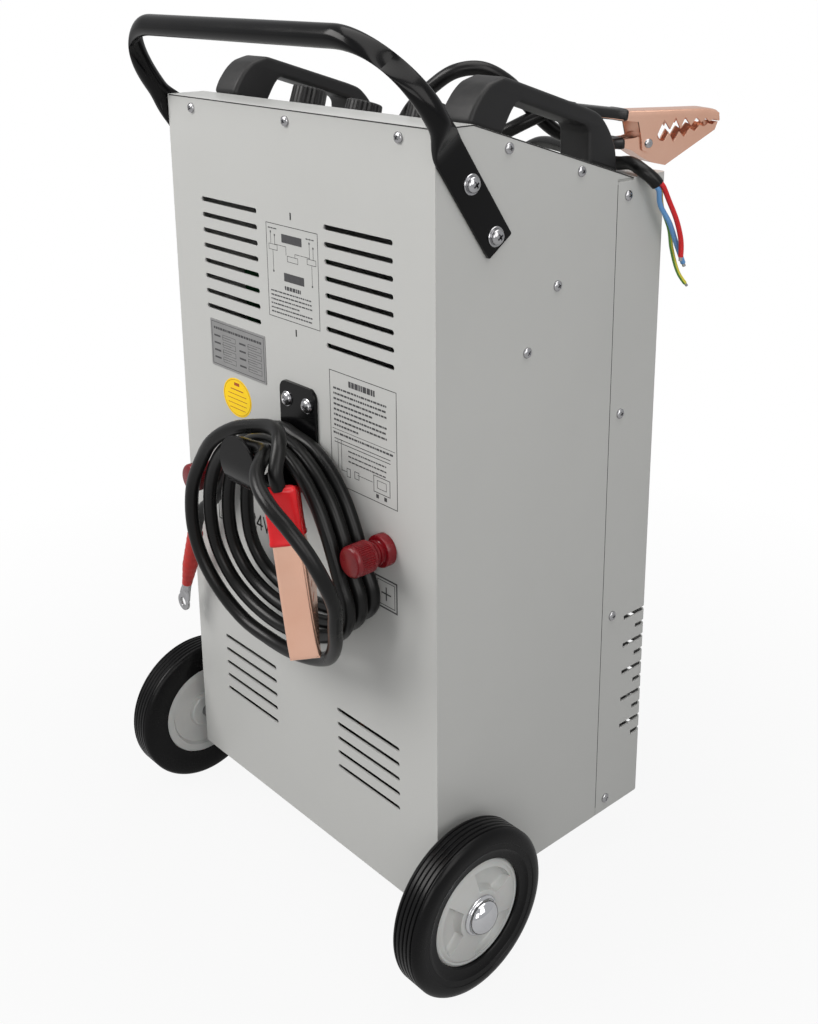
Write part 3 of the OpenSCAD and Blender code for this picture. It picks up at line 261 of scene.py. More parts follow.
def coating(name, colour, second, roughness, metallic=0.0, tone=(25, 0.5), relief=(900, 0.3, 0.02),
            scuffs=(60, 0.2, 0.08), dust=0.0, **sockets):
    """A finish: two screen colours, relief (scale, coarse share, depth in mm), rub marks and dust."""
    mat = bpy.data.materials.new(name)
    mat.use_nodes = True
    tree = mat.node_tree
    tones = use_group(tree, TONE, Colour=srgb(*colour), Second=srgb(*second), Scale=tone[0], Amount=tone[1])
    marks = use_group(tree, SCUFFS, Scale=scuffs[0], Amount=scuffs[1], Roughness=roughness, Spread=scuffs[2])
    grain = use_group(tree, GRAIN, Scale=relief[0], Coarse=relief[1])
    bump = add_node(tree, "Bump", Height=grain, Distance=relief[2] * MM, Strength=0.8)
    base = mixed(tree, use_group(tree, DUST, Amount=dust), tones, DUST_COLOUR)
    sockets.update(Metallic=metallic, Base_Color=base, Roughness=marks, Normal=bump.outputs["Normal"])
    for label, value in sockets.items():
        feed(tree, value, tree.nodes["Principled BSDF"].inputs[label.replace("_", " ")])
    return mat


PAINT = coating("cabinet_paint", (190, 191, 189), (184, 185, 183), 0.38, tone=(6, 0.5),
                relief=(1400, 1.5, 0.006), scuffs=(20, 0.1, 0.06), Specular_IOR_Level=0.35, Coat_Weight=0.06)
BLACK_PAINT = coating("black_gloss_paint", (6, 6, 7), (9, 9, 10), 0.2, relief=(500, 1.0, 0.006),
                      scuffs=(70, 0.3, 0.06), dust=0.003, Specular_IOR_Level=0.16, Coat_Weight=0.06)
BLACK_PLASTIC = coating("black_moulded_plastic", (20, 20, 21), (28, 28, 29), 0.46, tone=(40, 0.4),
                        relief=(2600, 0.5, 0.03), scuffs=(90, 0.4, 0.1), dust=0.03, Specular_IOR_Level=0.35)
KNOB_PLASTIC = coating("knob_plastic", (18, 18, 19), (25, 25, 26), 0.42, relief=(2200, 0.4, 0.02),
                       scuffs=(140, 0.3, 0.1), dust=0.03, Specular_IOR_Level=0.4)
ZINC = coating("zinc_plate", (184, 184, 187), (150, 150, 149), 0.2, metallic=1.0, tone=(180, 0.5),
               relief=(1500, 0.6, 0.01), scuffs=(260, 0.5, 0.15))
STEEL = coating("plain_steel", (140, 140, 142), (112, 112, 112), 0.42, metallic=1.0, tone=(90, 0.6),
                relief=(1200, 0.6, 0.02), scuffs=(160, 0.5, 0.15))
CHROME = coating("bright_chrome", (214, 215, 218), (190, 191, 194), 0.1, metallic=1.0,
                 tone=(60, 0.4), relief=(900, 0.5, 0.002), scuffs=(160, 0.35, 0.08))
TYRE_RUBBER = coating("tyre_rubber", (10, 10, 11), (15, 15, 16), 0.28, tone=(45, 0.6),
                      relief=(1500, 0.8, 0.02), scuffs=(110, 0.5, 0.12), dust=0.005, Specular_IOR_Level=0.16)
FOOT_RUBBER = coating("foot_rubber", (28, 28, 28), (40, 40, 39), 0.6, relief=(1100, 0.8, 0.05),
                      dust=0.08)
HUB_PLASTIC = coating("hub_plastic", (196, 197, 195), (180, 181, 180), 0.34, tone=(40, 0.5),
                      relief=(1300, 0.5, 0.01), scuffs=(90, 0.5, 0.1), Subsurface_Weight=0.05)
POST_RED = coating("post_red_plastic", (118, 12, 22), (88, 8, 16), 0.28, tone=(120, 0.6),
                   relief=(1500, 0.4, 0.01), scuffs=(200, 0.4, 0.1), Specular_IOR_Level=0.4, Coat_Weight=0.1)
BRASS = coating("turned_brass", (200, 165, 92), (168, 130, 70), 0.3, metallic=1.0, tone=(140, 0.6),
                relief=(1400, 0.5, 0.01), scuffs=(220, 0.4, 0.12))
COPPER = coating("copper_plating", (248, 200, 176), (236, 180, 152), 0.24, metallic=0.85,
                 tone=(18, 0.5), relief=(900, 0.7, 0.003), scuffs=(60, 0.12, 0.06))
RED_VINYL = coating("red_vinyl", (222, 20, 30), (200, 14, 24), 0.34, tone=(80, 0.6),
                    relief=(900, 0.6, 0.03), scuffs=(150, 0.3, 0.1), Subsurface_Weight=0.05)
BOOT_RED = coating("boot_red", (190, 36, 28), (158, 24, 20), 0.42, tone=(120, 0.6),
                   relief=(900, 1.2, 0.06), scuffs=(150, 0.3, 0.12))
BLACK_VINYL = coating("black_vinyl", (15, 15, 16), (24, 24, 25), 0.32, relief=(900, 0.6, 0.03),
                      scuffs=(150, 0.3, 0.1), Specular_IOR_Level=0.4)
SHEATH = coating("rubber_sheath", (11, 11, 11), (17, 17, 17), 0.3, tone=(60, 0.6),
                 relief=(1100, 0.9, 0.02), scuffs=(110, 0.4, 0.12), dust=0.005, Specular_IOR_Level=0.26)
# Near black: print for the voltage mark, and painted shade for the panel slits, the jaw's slot and the gaps
# along the cover edges
SHADE_AND_INK = coating("painted_shade_and_dark_ink", (18, 18, 18), (24, 24, 24), 0.7)
PRINT = coating("printed_ink", (58, 58, 60), (74, 74, 76), 0.5, tone=(300, 0.5),
                relief=(1400, 1.0, 0.004))
FOIL = coating("silver_foil", (158, 158, 158), (142, 142, 142), 0.34, metallic=0.55, tone=(60, 0.5),
               relief=(1500, 0.6, 0.01), scuffs=(200, 0.5, 0.1))
STICKER = coating("yellow_sticker", (252, 212, 0), (246, 200, 0), 0.5, tone=(60, 0.5),
                  relief=(900, 0.5, 0.01))
STICKER_INK = coating("sticker_ink", (168, 74, 22), (150, 56, 20), 0.5)
WHITE_INK = coating("white_ink", (228, 228, 224), (210, 210, 206), 0.5)
ROCKER_RED = coating("rocker_red", (200, 26, 22), (180, 20, 18), 0.22, Coat_Weight=0.4)
CORE_RED = coating("core_red", (216, 28, 34), (190, 20, 26), 0.35, relief=(900, 0.6, 0.02))
CORE_BLUE = coating("core_blue", (104, 158, 212), (84, 138, 196), 0.35, relief=(900, 0.6, 0.02))
SINK_ALUMINIUM = coating("sink_aluminium", (176, 176, 178), (150, 150, 152), 0.38, metallic=1.0)
WINDING = coating("enamelled_wire", (176, 104, 52), (140, 78, 36), 0.35, metallic=0.6)
BOARD = coating("board_laminate", (40, 104, 62), (30, 88, 52), 0.4)


def striped_core():
    """The earth core's insulation, green with a yellow stripe that runs along it."""
    mat = coating("core_green_yellow", (96, 150, 60), (80, 136, 50), 0.35, relief=(900, 0.6, 0.02))
    tree = mat.node_tree
    layer = tree.nodes.new("ShaderNodeAttribute")
    layer.attribute_name = "round_the_tube"
    stripe = remap(tree, layer.outputs["Fac"], 0.42, 0.46)
    base = tree.nodes["Principled BSDF"].inputs["Base Color"]
    tree.links.new(mixed(tree, stripe, base.links[0].from_socket, srgb(224, 212, 70)), base)
    return mat


CORE_EARTH = striped_core()
WINDOW = coating("clear_window", (236, 240, 242), (230, 236, 238), 0.05, relief=(600, 0.5, 0.001),
                 Transmission_Weight=1.0, IOR=1.45)

# ---------------------------------------------------------------- pieces


def piece(name, mesh, material, body="chassis", stands_for=(), sharp=40):
    """Makes an object of a mesh, lets it ride on a body and hides the solids that it stands for."""
    obj = bpy.data.objects.new(name, mesh)
    bpy.context.scene.collection.objects.link(obj)
    mesh.materials.append(material)
    if sharp:
        mesh.shade_smooth()
        mesh.set_sharp_from_angle(angle=math.radians(sharp))
    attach(obj, body)
    if stands_for:
        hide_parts(*stands_for)
    return obj


def mesh_of(name, verts, faces):
    mesh = bpy.data.meshes.new(name)
    mesh.from_pydata([tuple(v) for v in verts], [], faces)
    mesh.validate()
    mesh.update()
    return mesh


def joined(name, parts):
    """One mesh from several (vertices, faces, matrix) parts."""
    verts, faces = [], []
    for points, polygons, matrix in parts:
        start = len(verts)
        verts += [tuple(matrix @ Vector(p)) for p in points]
        faces += [tuple(start + i for i in f) for f in polygons]
    return mesh_of(name, verts, faces)


def build(name, parts, material, body="chassis", stands_for=(), sharp=40, weld=False):
    """A piece made of (vertices, faces, matrix) parts, welded where they meet if asked."""
    mesh = joined(name, parts)
    return piece(name, welded(mesh) if weld else mesh, material, body, stands_for, sharp)


def shape_of(mesh):
    """The vertices and faces of a mesh, for reuse."""
    return [tuple(v.co) for v in mesh.vertices], [tuple(p.vertices) for p in mesh.polygons]


def arc(middle, radius, start, end, steps):
    """Points (first, second coordinate) on part of a circle, angles in degrees."""
    angles = [math.radians(start + (end - start) * i / steps) for i in range(steps + 1)]
    return [(middle[0] + radius * math.cos(a), middle[1] + radius * math.sin(a)) for a in angles]


def circle(sides):
    """The cosine and sine of equal steps round a circle."""
    return [(math.cos(2 * math.pi * k / sides), math.sin(2 * math.pi * k / sides)) for k in range(sides)]


def lathe(profile, sides):
    """Turns (radius, height) points round local z. Points at radius 0 close the ends."""
    verts, faces, rows = [], [], []
    for radius, height in profile:
        if radius < 1e-6:
            rows.append([len(verts)])
            verts.append((0, 0, height))
        else:
            rows.append(list(range(len(verts), len(verts) + sides)))
            verts += [(radius * c, radius * s, height) for c, s in circle(sides)]
    for low, high in zip(rows, rows[1:]):
        for k in range(sides):
            corners = [row[i % len(row)] for row, i in ((low, k), (low, k + 1), (high, k + 1), (high, k))]
            face = list(dict.fromkeys(corners))
            if len(face) > 2:
                faces.append(tuple(face))
    return verts, faces


def loft(rings):
    """Skins rings of equal point counts, in order, and closes both ends."""
    count = len(rings[0])
    verts = [p for ring in rings for p in ring]
    faces = []
    for i in range(len(rings) - 1):
        for k in range(count):
            n = (k + 1) % count
            faces.append((i * count + k, i * count + n, (i + 1) * count + n, (i + 1) * count + k))
    faces.append(tuple(reversed(range(count))))
    faces.append(tuple(range((len(rings) - 1) * count, len(rings) * count)))
    return verts, faces


def box_shape(low, high):
    corners = [(x, y, z) for x in (low[0], high[0]) for y in (low[1], high[1]) for z in (low[2], high[2])]
    return corners, [(0, 1, 3, 2), (4, 6, 7, 5), (0, 4, 5, 1), (2, 3, 7, 6), (0, 2, 6, 4), (1, 5, 7, 3)]


def plate(outline, thickness, edge=0.0, holes=(), steps=3):
    """A flat plate with rounded edges, its middle plane at local z = 0."""
    curve = bpy.data.curves.new("outline", "CURVE")
    curve.dimensions = "2D"
    curve.fill_mode = "BOTH"
    curve.extrude = thickness / 2 - edge
    curve.bevel_depth = edge
    curve.bevel_resolution = steps
    curve.offset = -edge
    for points in [outline, *holes]:
        line = curve.splines.new("POLY")
        line.points.add(len(points) - 1)
        for spot, (x, y) in zip(line.points, points):
            spot.co = (x, y, 0, 1)
        line.use_cyclic_u = True
    holder = bpy.data.objects.new("outline", curve)
    bpy.context.scene.collection.objects.link(holder)
    bpy.context.view_layer.update()
    mesh = bpy.data.meshes.new_from_object(holder.evaluated_get(bpy.context.evaluated_depsgraph_get()))
    shape = shape_of(mesh)
    bpy.data.objects.remove(holder)
    bpy.data.curves.remove(curve)
    bpy.data.meshes.remove(mesh)
    return shape


def welded(mesh, distance=1e-6):
    work = bmesh.new()
    work.from_mesh(mesh)
    bmesh.ops.remove_doubles(work, verts=work.verts, dist=distance)
    bmesh.ops.recalc_face_normals(work, faces=work.faces)
    work.to_mesh(mesh)
    work.free()
    return mesh


def cut(base, cutter):
    """The first (vertices, faces) shape less the second."""
    objects = []
    for shape in (base, cutter):
        obj = bpy.data.objects.new("cut", welded(mesh_of("cut", *shape), 1e-4))
        bpy.context.scene.collection.objects.link(obj)
        objects.append(obj)
    knife = objects[0].modifiers.new("cut", "BOOLEAN")
    knife.operation = "DIFFERENCE"
    knife.solver = "EXACT"
    knife.object = objects[1]
    bpy.context.view_layer.update()
    mesh = bpy.data.meshes.new_from_object(objects[0].evaluated_get(bpy.context.evaluated_depsgraph_get()))
    shape = shape_of(mesh)
    for obj in objects:
        bpy.data.objects.remove(obj)
    return shape


EDGE_ANGLE = math.radians(35)  # edges sharper than this are rounded


def softened(node, width, material, segments=2):
    """A solid that stays, with small rounded edges, flat faces that shade flat, and its finish."""
    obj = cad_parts[node]
    weld = obj.modifiers.new("weld", "WELD")
    weld.merge_threshold = 1e-5
    faces = obj.modifiers.new("whole_faces", "DECIMATE")
    faces.decimate_type = "DISSOLVE"
    faces.angle_limit = math.radians(0.5)
    bevel = obj.modifiers.new("edges", "BEVEL")
    bevel.width = width * MM
    bevel.segments = segments
    bevel.limit_method = "ANGLE"
    bevel.angle_limit = EDGE_ANGLE
    bevel.use_clamp_overlap = True
    normals = obj.modifiers.new("face_normals", "WEIGHTED_NORMAL")
    normals.weight = 80
    normals.keep_sharp = True
    obj.data.shade_smooth()
    painted(node, material)


def painted(node, material):
    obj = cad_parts[node]
    obj.data.materials.clear()
    obj.data.materials.append(material)


# ---------------------------------------------------------------- cords


def between(p, q, start, end, t):
    return p * ((end - t) / (end - start)) + q * ((t - start) / (end - start))


def catmull(points, step=2.5):
    """A smooth line through the points, with a point every few millimetres."""
    pts = [Vector(p) for p in points]
    pts = [2 * pts[0] - pts[1], *pts, 2 * pts[-1] - pts[-2]]
    line = []
    for p0, p1, p2, p3 in zip(pts, pts[1:], pts[2:], pts[3:]):
        knots = [0.0]
        for a, b in ((p0, p1), (p1, p2), (p2, p3)):
            knots.append(knots[-1] + max((b - a).length, 1e-6) ** 0.5)
        t0, t1, t2, t3 = knots
        count = max(1, round((p2 - p1).length / step))
        for i in range(count):
            t = t1 + (t2 - t1) * i / count
            a1, a2, a3 = between(p0, p1, t0, t1, t), between(p1, p2, t1, t2, t), between(p2, p3, t2, t3, t)
            line.append(between(between(a1, a2, t0, t2, t), between(a2, a3, t1, t3, t), t1, t2, t))
    line.append(pts[-2])
    return line


def sweep(line, radius, sides=20):
    """A closed tube round a line."""
    ways = [(line[min(i + 1, len(line) - 1)] - line[max(i - 1, 0)]).normalized() for i in range(len(line))]
    side = Vector((0, 0, 1)) if abs(ways[0].z) < 0.9 else Vector((1, 0, 0))
    rings = []
    for point, way in zip(line, ways):
        side = (side - way * side.dot(way)).normalized()
        other = way.cross(side)
        rings.append([point + (side * c + other * s) * radius for c, s in circle(sides)])
    return loft(rings)


LEAD_D = 11.0
MAINS_D = 10.5

HANG_OUTLINE = [(-10, 355), (-42, 346.5), (-67.5, 324), (-82.5, 297.5), (-93.5, 268), (-100, 244),
                (-88, 219), (-56, 199), (-14, 187), (26, 193), (56, 211), (72, 236), (76, 262), (71, 294),
                (54, 324), (26, 347)]
HANG_DEPTH = [9.5, 9, 6.2, 15, 21.3, 21, 16.8, 27, 33, 33, 27.4, 38.2, 47]
HANG_TURNS = 3
LUG_RUN = [(117, 16.5, 254), (105, 15, 265), (94, 13, 278), (85, 11, 295), (72, 9.5, 318), (52, 9.5, 339),
           (24, 9.5, 352)]
CLAMP_RUN = [(-32, 51, 359), (-42.5, 62.5, 358.5), (-53, 74, 354.5), (-66, 80.5, 348), (-80, 82, 340),
             (-96, 79, 328), (-109, 73, 311.5), (-117, 66, 291), (-117, 57.5, 269), (-110, 52, 247),
             (-100, 45, 227), (-83, 38, 207), (-58, 34, 194), (-30, 34, 188), (0, 34, 187), (30, 37, 193),
             (57, 42, 212), (73, 47, 238), (78, 50, 266), (75, 50, 298), (59, 49.5, 327), (40.5, 50, 347.5),
             (16, 47, 363), (-9, 43.5, 371), (-27, 43, 375), (-41, 46, 375.5), (-51.5, 53, 369.5)]
BOOT_TOP = Vector((130, 17, 229))
BOOT_TURN = 160.7
BOOT_WAY = turn(BOOT_TURN, "Y") @ Vector((0, 0, 1))


def cubic(a, b, c, d, t):
    return 0.5 * (2 * b + (c - a) * t + (2 * a - 5 * b + 4 * c - d) * t * t
                  + (3 * b - a - 3 * c + d) * t ** 3)


def hang_point(s):
    """The coil on the hook after s turns."""
    count = len(HANG_OUTLINE)
    place = (s % 1) * count
    i, t = int(place), place % 1
    x, z = (cubic(*(HANG_OUTLINE[(i + k) % count][axis] for k in (-1, 0, 1, 2)), t) for axis in (0, 1))
    last = len(HANG_DEPTH) - 1
    j = min(int(4 * s), last - 1)
    y = cubic(*(HANG_DEPTH[min(max(j + k, 0), last)] for k in (-1, 0, 1, 2)), 4 * s - j)
    if x > -10:
        x = -10 + (x + 10) * (0.7 + 0.105 * (s - 0.75))
    if z < 300:
        z += (30 - 8.5 * (s - 0.5)) * ((300 - z) / 113) ** 2
    return Vector((x, y, z))


# Floor coils: turns in a layer, gap between turns in mm, middle radius in cord diameters
LAYER_TURNS = 2
PILE_GAP = 0.9
COIL_RADIUS = 5
TURN_POINTS = 24


def pile_point(middle, diameter, start, way, s):
    """A coil on the floor after s turns: in along the lower layer, out along the upper one."""
    pitch = diameter + PILE_GAP
    radius = COIL_RADIUS * diameter + pitch * (abs(s - LAYER_TURNS) - LAYER_TURNS / 2)
    up = min(max((s - LAYER_TURNS + 0.25) / 0.5, 0), 1)
    z = FLOOR + 0.2 + diameter / 2 + pitch * up * up * (3 - 2 * up)
    a = math.radians(start + way * 360 * s)
    return Vector((middle[0] + radius * math.cos(a), middle[1] + radius * math.sin(a), z))


def straight_ends(points, diameter):
    """The coil with a straight stretch of one diameter before it and after it."""
    first = points[0] - (points[1] - points[0]).normalized() * diameter
    last = points[-1] + (points[-1] - points[-2]).normalized() * diameter
    return [first, *points, last]


def turns_of(point, turns):
    return [point(i / TURN_POINTS) for i in range(int(TURN_POINTS * turns) + 1)]


NEGATIVE_MIDDLE = (32, -362)
MAINS_MIDDLE = (178, -362)
GLAND_X = (83, 130)
GLAND_Z = 28
GLAND_L = 34
EXIT_Y = -DEPTH - GLAND_L

NEGATIVE_LOWER = [(83, EXIT_Y, GLAND_Z), (83, EXIT_Y - 12, GLAND_Z), (85, -304, 20), (92, -322, -9),
                  (98, -336, -28)]
NEGATIVE_UPPER = [(-30, -334, -26), (-35, -312, -25), (-39, -290, -20), (-42, -266, 0), (-47, -251, 34),
                  (-52, -247, 80), (-60, -246.5, 200), (-70, -246.5, 330), (-80, -246.5, 460),
                  (-86, -247, 525), (-89, -246, 548), (-91, -234, 566), (-93, -215, 569), (-94, -200, 571),
                  (-94, -185, 577), (-91, -165, 592), (-86, -142, 615), (-77, -122, 626), (-64, -108, 624),
                  (-47, -100, 612), (-30, -97, 597), (-13, -104, 586), (5, -117, 580), (16, -136, 574),
                  (14, -158, 567), (-4, -170, 563.5), (-30, -167.5, 565.5), (-56, -156.5, 570),
                  (-75.5, -146.1, 576.3)]
MAINS_LOWER = [(130, EXIT_Y, GLAND_Z), (130, EXIT_Y - 12, GLAND_Z), (127, -303, 20), (120, -324, -7),
               (114, -344, -26), (112.5, -360, -36)]
MAINS_UPPER = [(170, -294, -26), (145, -285, -28), (118, -276, -33), (90, -266, -33), (70, -257, -17),
               (58, -249.5, 18), (55, -246, 80), (55, -246, 200), (54, -246, 330), (50, -246, 440),
               (38, -246, 494), (14, -247, 533), (-20, -244, 554), (-55, -234, 557), (-88, -223, 553.5),
               (-118, -217, 552.6), (-134, -213, 553.2), (-150, -209.4, 555.2), (-163, -206.5, 551.5),
               (-169.5, -211, 545.5), (-171.5, -214, 541.5)]
RED_CORE = [(-173.6, -214.9, 542.5), (-174.7, -216.6, 540.3), (-175.5, -223.7, 528.4), (-178, -231.6, 511.5),
            (-178.5, -237.4, 494.2), (-178, -238.2, 478.7)]
BLUE_CORE = [(-171.7, -212.3, 539.7), (-172.8, -214, 537.5), (-171.2, -218.6, 525.9), (-173, -229.3, 509.8),
             (-173, -238.4, 493.3), (-173, -250.9, 472.2)]
EARTH_CORE = [(-169.7, -215.8, 541.3), (-170.8, -217.5, 539.1), (-168, -225.3, 522.6), (-168, -235.9, 503.1),
              (-168.5, -238.9, 488.8), (-170, -246.8, 468.4), (-172, -257.5, 455.2)]

# The two clamps: local x towards the tip, local z up through the upper jaw, the rivet at the origin
POSITIVE_CLAMP = placed(-52.3, 42, 275, turn(136.2, "Z") @ turn(7.4, "X") @ turn(80.5, "Y"))
NEGATIVE_CLAMP = placed(-126.1, -248.4, 565.5, turn(-106, "Z"))
GRIP_L = 44
GRIP_START = 20.5
UPPER_ARM_Z = 22.4
UPPER_LEAN = 8


def grip_entry(clamp, back):
    """A point in cabinet millimetres behind the upper grip of a clamp, on the lead's axis."""
    local = Vector((-GRIP_START, 0, UPPER_ARM_Z)) + turn(UPPER_LEAN, "Y") @ Vector((-GRIP_L - back, 0, 0))
    return (clamp @ local - ORIGIN) / MM


def cord_piece(name, points, diameter, nodes):
    spots = [at(*p) for p in catmull(points)]
    mesh = mesh_of(name, *sweep(spots, diameter / 2 * MM))
    obj = piece(name, mesh, SHEATH, stands_for=nodes, sharp=60)
    return obj, spots


hanging = turns_of(hang_point, HANG_TURNS)
positive_points = [BOOT_TOP, BOOT_TOP - BOOT_WAY * LEAD_D, *LUG_RUN, *straight_ends(hanging, LEAD_D),
                   *CLAMP_RUN, grip_entry(POSITIVE_CLAMP, LEAD_D), grip_entry(POSITIVE_CLAMP, -2)]
positive_lead, positive_line = cord_piece("positive_lead", positive_points, LEAD_D,
                                          ["positive_lead_coil", "positive_lead_ends"])

negative_pile = turns_of(lambda s: pile_point(NEGATIVE_MIDDLE, LEAD_D, 0, -1, s), 3.5)
negative_points = [*NEGATIVE_LOWER, *straight_ends(negative_pile, LEAD_D), *NEGATIVE_UPPER,
                   grip_entry(NEGATIVE_CLAMP, LEAD_D), grip_entry(NEGATIVE_CLAMP, -2)]
negative_lead, negative_line = cord_piece("negative_lead", negative_points, LEAD_D,
                                          ["negative_lead_coil", "negative_lead_runs"])

mains_pile = turns_of(lambda s: pile_point(MAINS_MIDDLE, MAINS_D, 200, 1, s), 3.625)
mains_points = [*MAINS_LOWER, *straight_ends(mains_pile, MAINS_D), *MAINS_UPPER]
mains_cord, mains_line = cord_piece("mains_cord", mains_points, MAINS_D,
                                    ["mains_cord_coil", "mains_cord_runs"])


CORE_SIDES, CORE_TIP = 16, 3


def make_cores():
    """Three insulated cores with tinned ends."""
    made = []
    for name, route, material, d in (("red", RED_CORE, CORE_RED, 4.0), ("blue", BLUE_CORE, CORE_BLUE, 4.0),
                                     ("earth", EARTH_CORE, CORE_EARTH, 3.2)):
        spots = [at(*p) for p in catmull(route, 1.5)]
        verts, faces = sweep(spots[:-CORE_TIP], d / 2 * MM, CORE_SIDES)
        mesh = mesh_of("core_" + name, verts, faces)
        layer = mesh.attributes.new("round_the_tube", "FLOAT", "POINT")
        for i in range(len(verts)):
            layer.data[i].value = abs((i % CORE_SIDES) / (CORE_SIDES / 2) - 1)
        nodes = ["mains_cores"] if name == "red" else []
        made.append(piece("core_" + name, mesh, material, stands_for=nodes))
        bare = mesh_of("core_tip_" + name, *sweep(spots[-CORE_TIP - 2:-1], d * 0.36 * MM, 12))
        made.append(piece("core_tip_" + name, bare, ZINC))
    return made


cores = make_cores()

# ---------------------------------------------------------------- lofts and small shapes


def ring_of(sides, radius, z):
    """Points round local z. radius takes a point's number and its angle."""
    angles = [2 * math.pi * k / sides for k in range(sides)]
    return [(radius(k, a) * math.cos(a), radius(k, a) * math.sin(a), z) for k, a in enumerate(angles)]


def soft_oblong(half_w, half_h, power, sides=48):
    """Points of an oval that turns into a rounded oblong as the power grows."""
    share = 2 / power
    return [(half_w * math.copysign(abs(c) ** share, c), half_h * math.copysign(abs(s) ** share, s))
            for c, s in circle(sides)]


def smooth_step(value, low, high):
    t = min(max((value - low) / (high - low), 0), 1)
    return t * t * (3 - 2 * t)


ROUND_STEPS = 5


def rounded(points, radius):
    """A polygon's corners rounded by up to the radius."""
    out = []
    for i, point in enumerate(points):
        here, before, after = Vector(point), Vector(points[i - 1]), Vector(points[(i + 1) % len(points)])
        to_before, to_after = before - here, after - here
        reach = min(radius, to_before.length * 0.45, to_after.length * 0.45)
        first, last = here + to_before.normalized() * reach, here + to_after.normalized() * reach
        for k in range(ROUND_STEPS + 1):
            t = k / ROUND_STEPS
            out.append(tuple(first * (1 - t) ** 2 + here * 2 * t * (1 - t) + last * t * t))
    return out


def oblong(width, height, radius):
    w, h = width / 2, height / 2
    return rounded([(-w, -h), (w, -h), (w, h), (-w, h)], radius)


HEAD_EDGE = 0.3  # height of a screw head at its rim, as a share of its crown


def head_profile(radius, height):
    """A domed screw head from its rim to its crown."""
    crown = [(radius * math.cos(a), height * (HEAD_EDGE + (1 - HEAD_EDGE) * math.sin(a)))
             for a in (math.radians(degrees) for degrees in range(0, 91, 10))]
    return [(0, 0), (radius, 0)] + crown[:-1] + [(0, height)]


def cross_recess(width, arm, depth, top):
    """A cross that tapers into the head."""
    shapes = []
    for spin in (0, 90):
        rings = []
        for z, share in ((top + 1, 1.0), (top - depth, 0.55)):
            half_l, half_w = width / 2 * share, arm / 2 * share
            rings.append([turn(spin, "Z") @ Vector(p) for p in ((-half_l, -half_w, z), (half_l, -half_w, z),
                                                                 (half_l, half_w, z), (-half_l, half_w, z))])
        shapes.append(loft(rings))
    return shapes


def screw_head(radius, height):
    shape = lathe(head_profile(radius, height), 40)
    for recess in cross_recess(radius * 1.15, radius * 0.3, height * 0.6, height):
        shape = cut(shape, recess)
    return shape


def washer(outer, inner, height):
    return lathe([(inner, 0), (outer - 0.2, 0), (outer, 0.2), (outer, height * 0.6), (outer - 0.4, height),
                  (inner + 0.3, height), (inner, height - 0.2), (inner, 0)], 48)


def spread(shape, matrices):
    """The same shape in several places."""
    return [(*shape, matrix) for matrix in matrices]


# ---------------------------------------------------------------- cabinet

for node in ("rear_cover", "front_cover", "top_panel", "base_plate"):
    softened(node, 0.35, PAINT)

# How far the front cover wraps round each side, and how far its screws are from that edge
WRAP_L, SEAM_INSET = 57.8, 12.4
REAR_SCREWS = [(x, HEIGHT - 8.5) for x in (-125, 0, 125)]
SLOPE_FALL = math.tan(SLOPE)
LEDGE_Z = HEIGHT - (DEPTH - LEDGE - STRIP) * SLOPE_FALL
SEAM_SCREW_Y = DEPTH - WRAP_L + SEAM_INSET
SIDE_SCREWS = ([(d, HEIGHT - (d - STRIP) * SLOPE_FALL - 8) for d in (67, 141)]
               + [(118.3, HEIGHT - 122), (87.9, HEIGHT - 166)]
               + [(SEAM_SCREW_Y, z) for z in (12, 186, 362, LEDGE_Z - 13)])


def on_side(side, y, z, spin):
    """A frame on a side panel, local z outwards."""
    return placed(side * SIDE, -y, z, (LEFT if side > 0 else RIGHT) @ turn(spin, "Z"))


def make_cover_screws():
    rng = random.Random(5)
    head = screw_head(4, 2.6)
    rear = [placed(x, 0, z, BACK @ turn(rng.uniform(0, 90), "Z")) for x, z in REAR_SCREWS]
    sides = [on_side(s, y, z, rng.uniform(0, 90)) for s in (1, -1) for y, z in SIDE_SCREWS]
    build("cover_screw_heads", spread(head, rear + sides), ZINC, stands_for=["cover_screws"],
          sharp=35)


make_cover_screws()

# ---------------------------------------------------------------- push handle

HANDLE_LEAN = 34.8
STRAP_Y, STRAP_Z = 51.9, HEIGHT - 76
STRAP_W, STRAP_T, STRAP_END = 26, 3.2, 9
TUBE_R, LEG_L, BEND_R = 8, 162, 58
LEG_X = SIDE + TUBE_R + 0.2
BOLT_PITCH = 44
HANDLE_FRAME = placed(0, -STRAP_Y, STRAP_Z, turn(-HANDLE_LEAN, "X"))


def handle_ring(x, z, lean, flat, width):
    """One section of the handle: flat goes from 0, round tube, to 1, pressed strap."""
    half_w = TUBE_R + (STRAP_W / 2 - TUBE_R) * flat
    half_t = TUBE_R + (STRAP_T / 2 - TUBE_R) * flat ** 0.8
    along_x, along_z = math.cos(lean), -math.sin(lean)
    return [Vector((x + t * along_x, w * width, z + t * along_z))
            for w, t in soft_oblong(half_w, half_t, 2 + 9 * flat ** 2)]


def make_push_handle():
    stations = []
    strap_x = SIDE + STRAP_T / 2
    for z in (-STRAP_END, -8.5, 0, 20, 40, 60, 72, 76, 79, 82, 85, 88, 91, 94, 97, 100, 102, 104):
        width = 0.96 if z == -STRAP_END else 1.0
        flat = 1 - smooth_step(z, 74, 100)
        x = strap_x + (LEG_X - strap_x) * smooth_step(z, 72, 98)
        stations.append((x, z, 0.0, flat, width))
    middle = (LEG_X - BEND_R, LEG_L - BEND_R)
    for i in range(1, 25):
        a = math.radians(90 * i / 24)
        stations.append((middle[0] + BEND_R * math.cos(a), middle[1] + BEND_R * math.sin(a), a, 0.0, 1.0))
    rings = [handle_ring(*s) for s in stations]
    far = [[Vector((-p.x, p.y, p.z)) for p in ring] for ring in reversed(rings)]
    build("push_handle_tube", [(*loft(rings + far), HANDLE_FRAME)], BLACK_PAINT, stands_for=["push_handle"],
          sharp=50, weld=True)


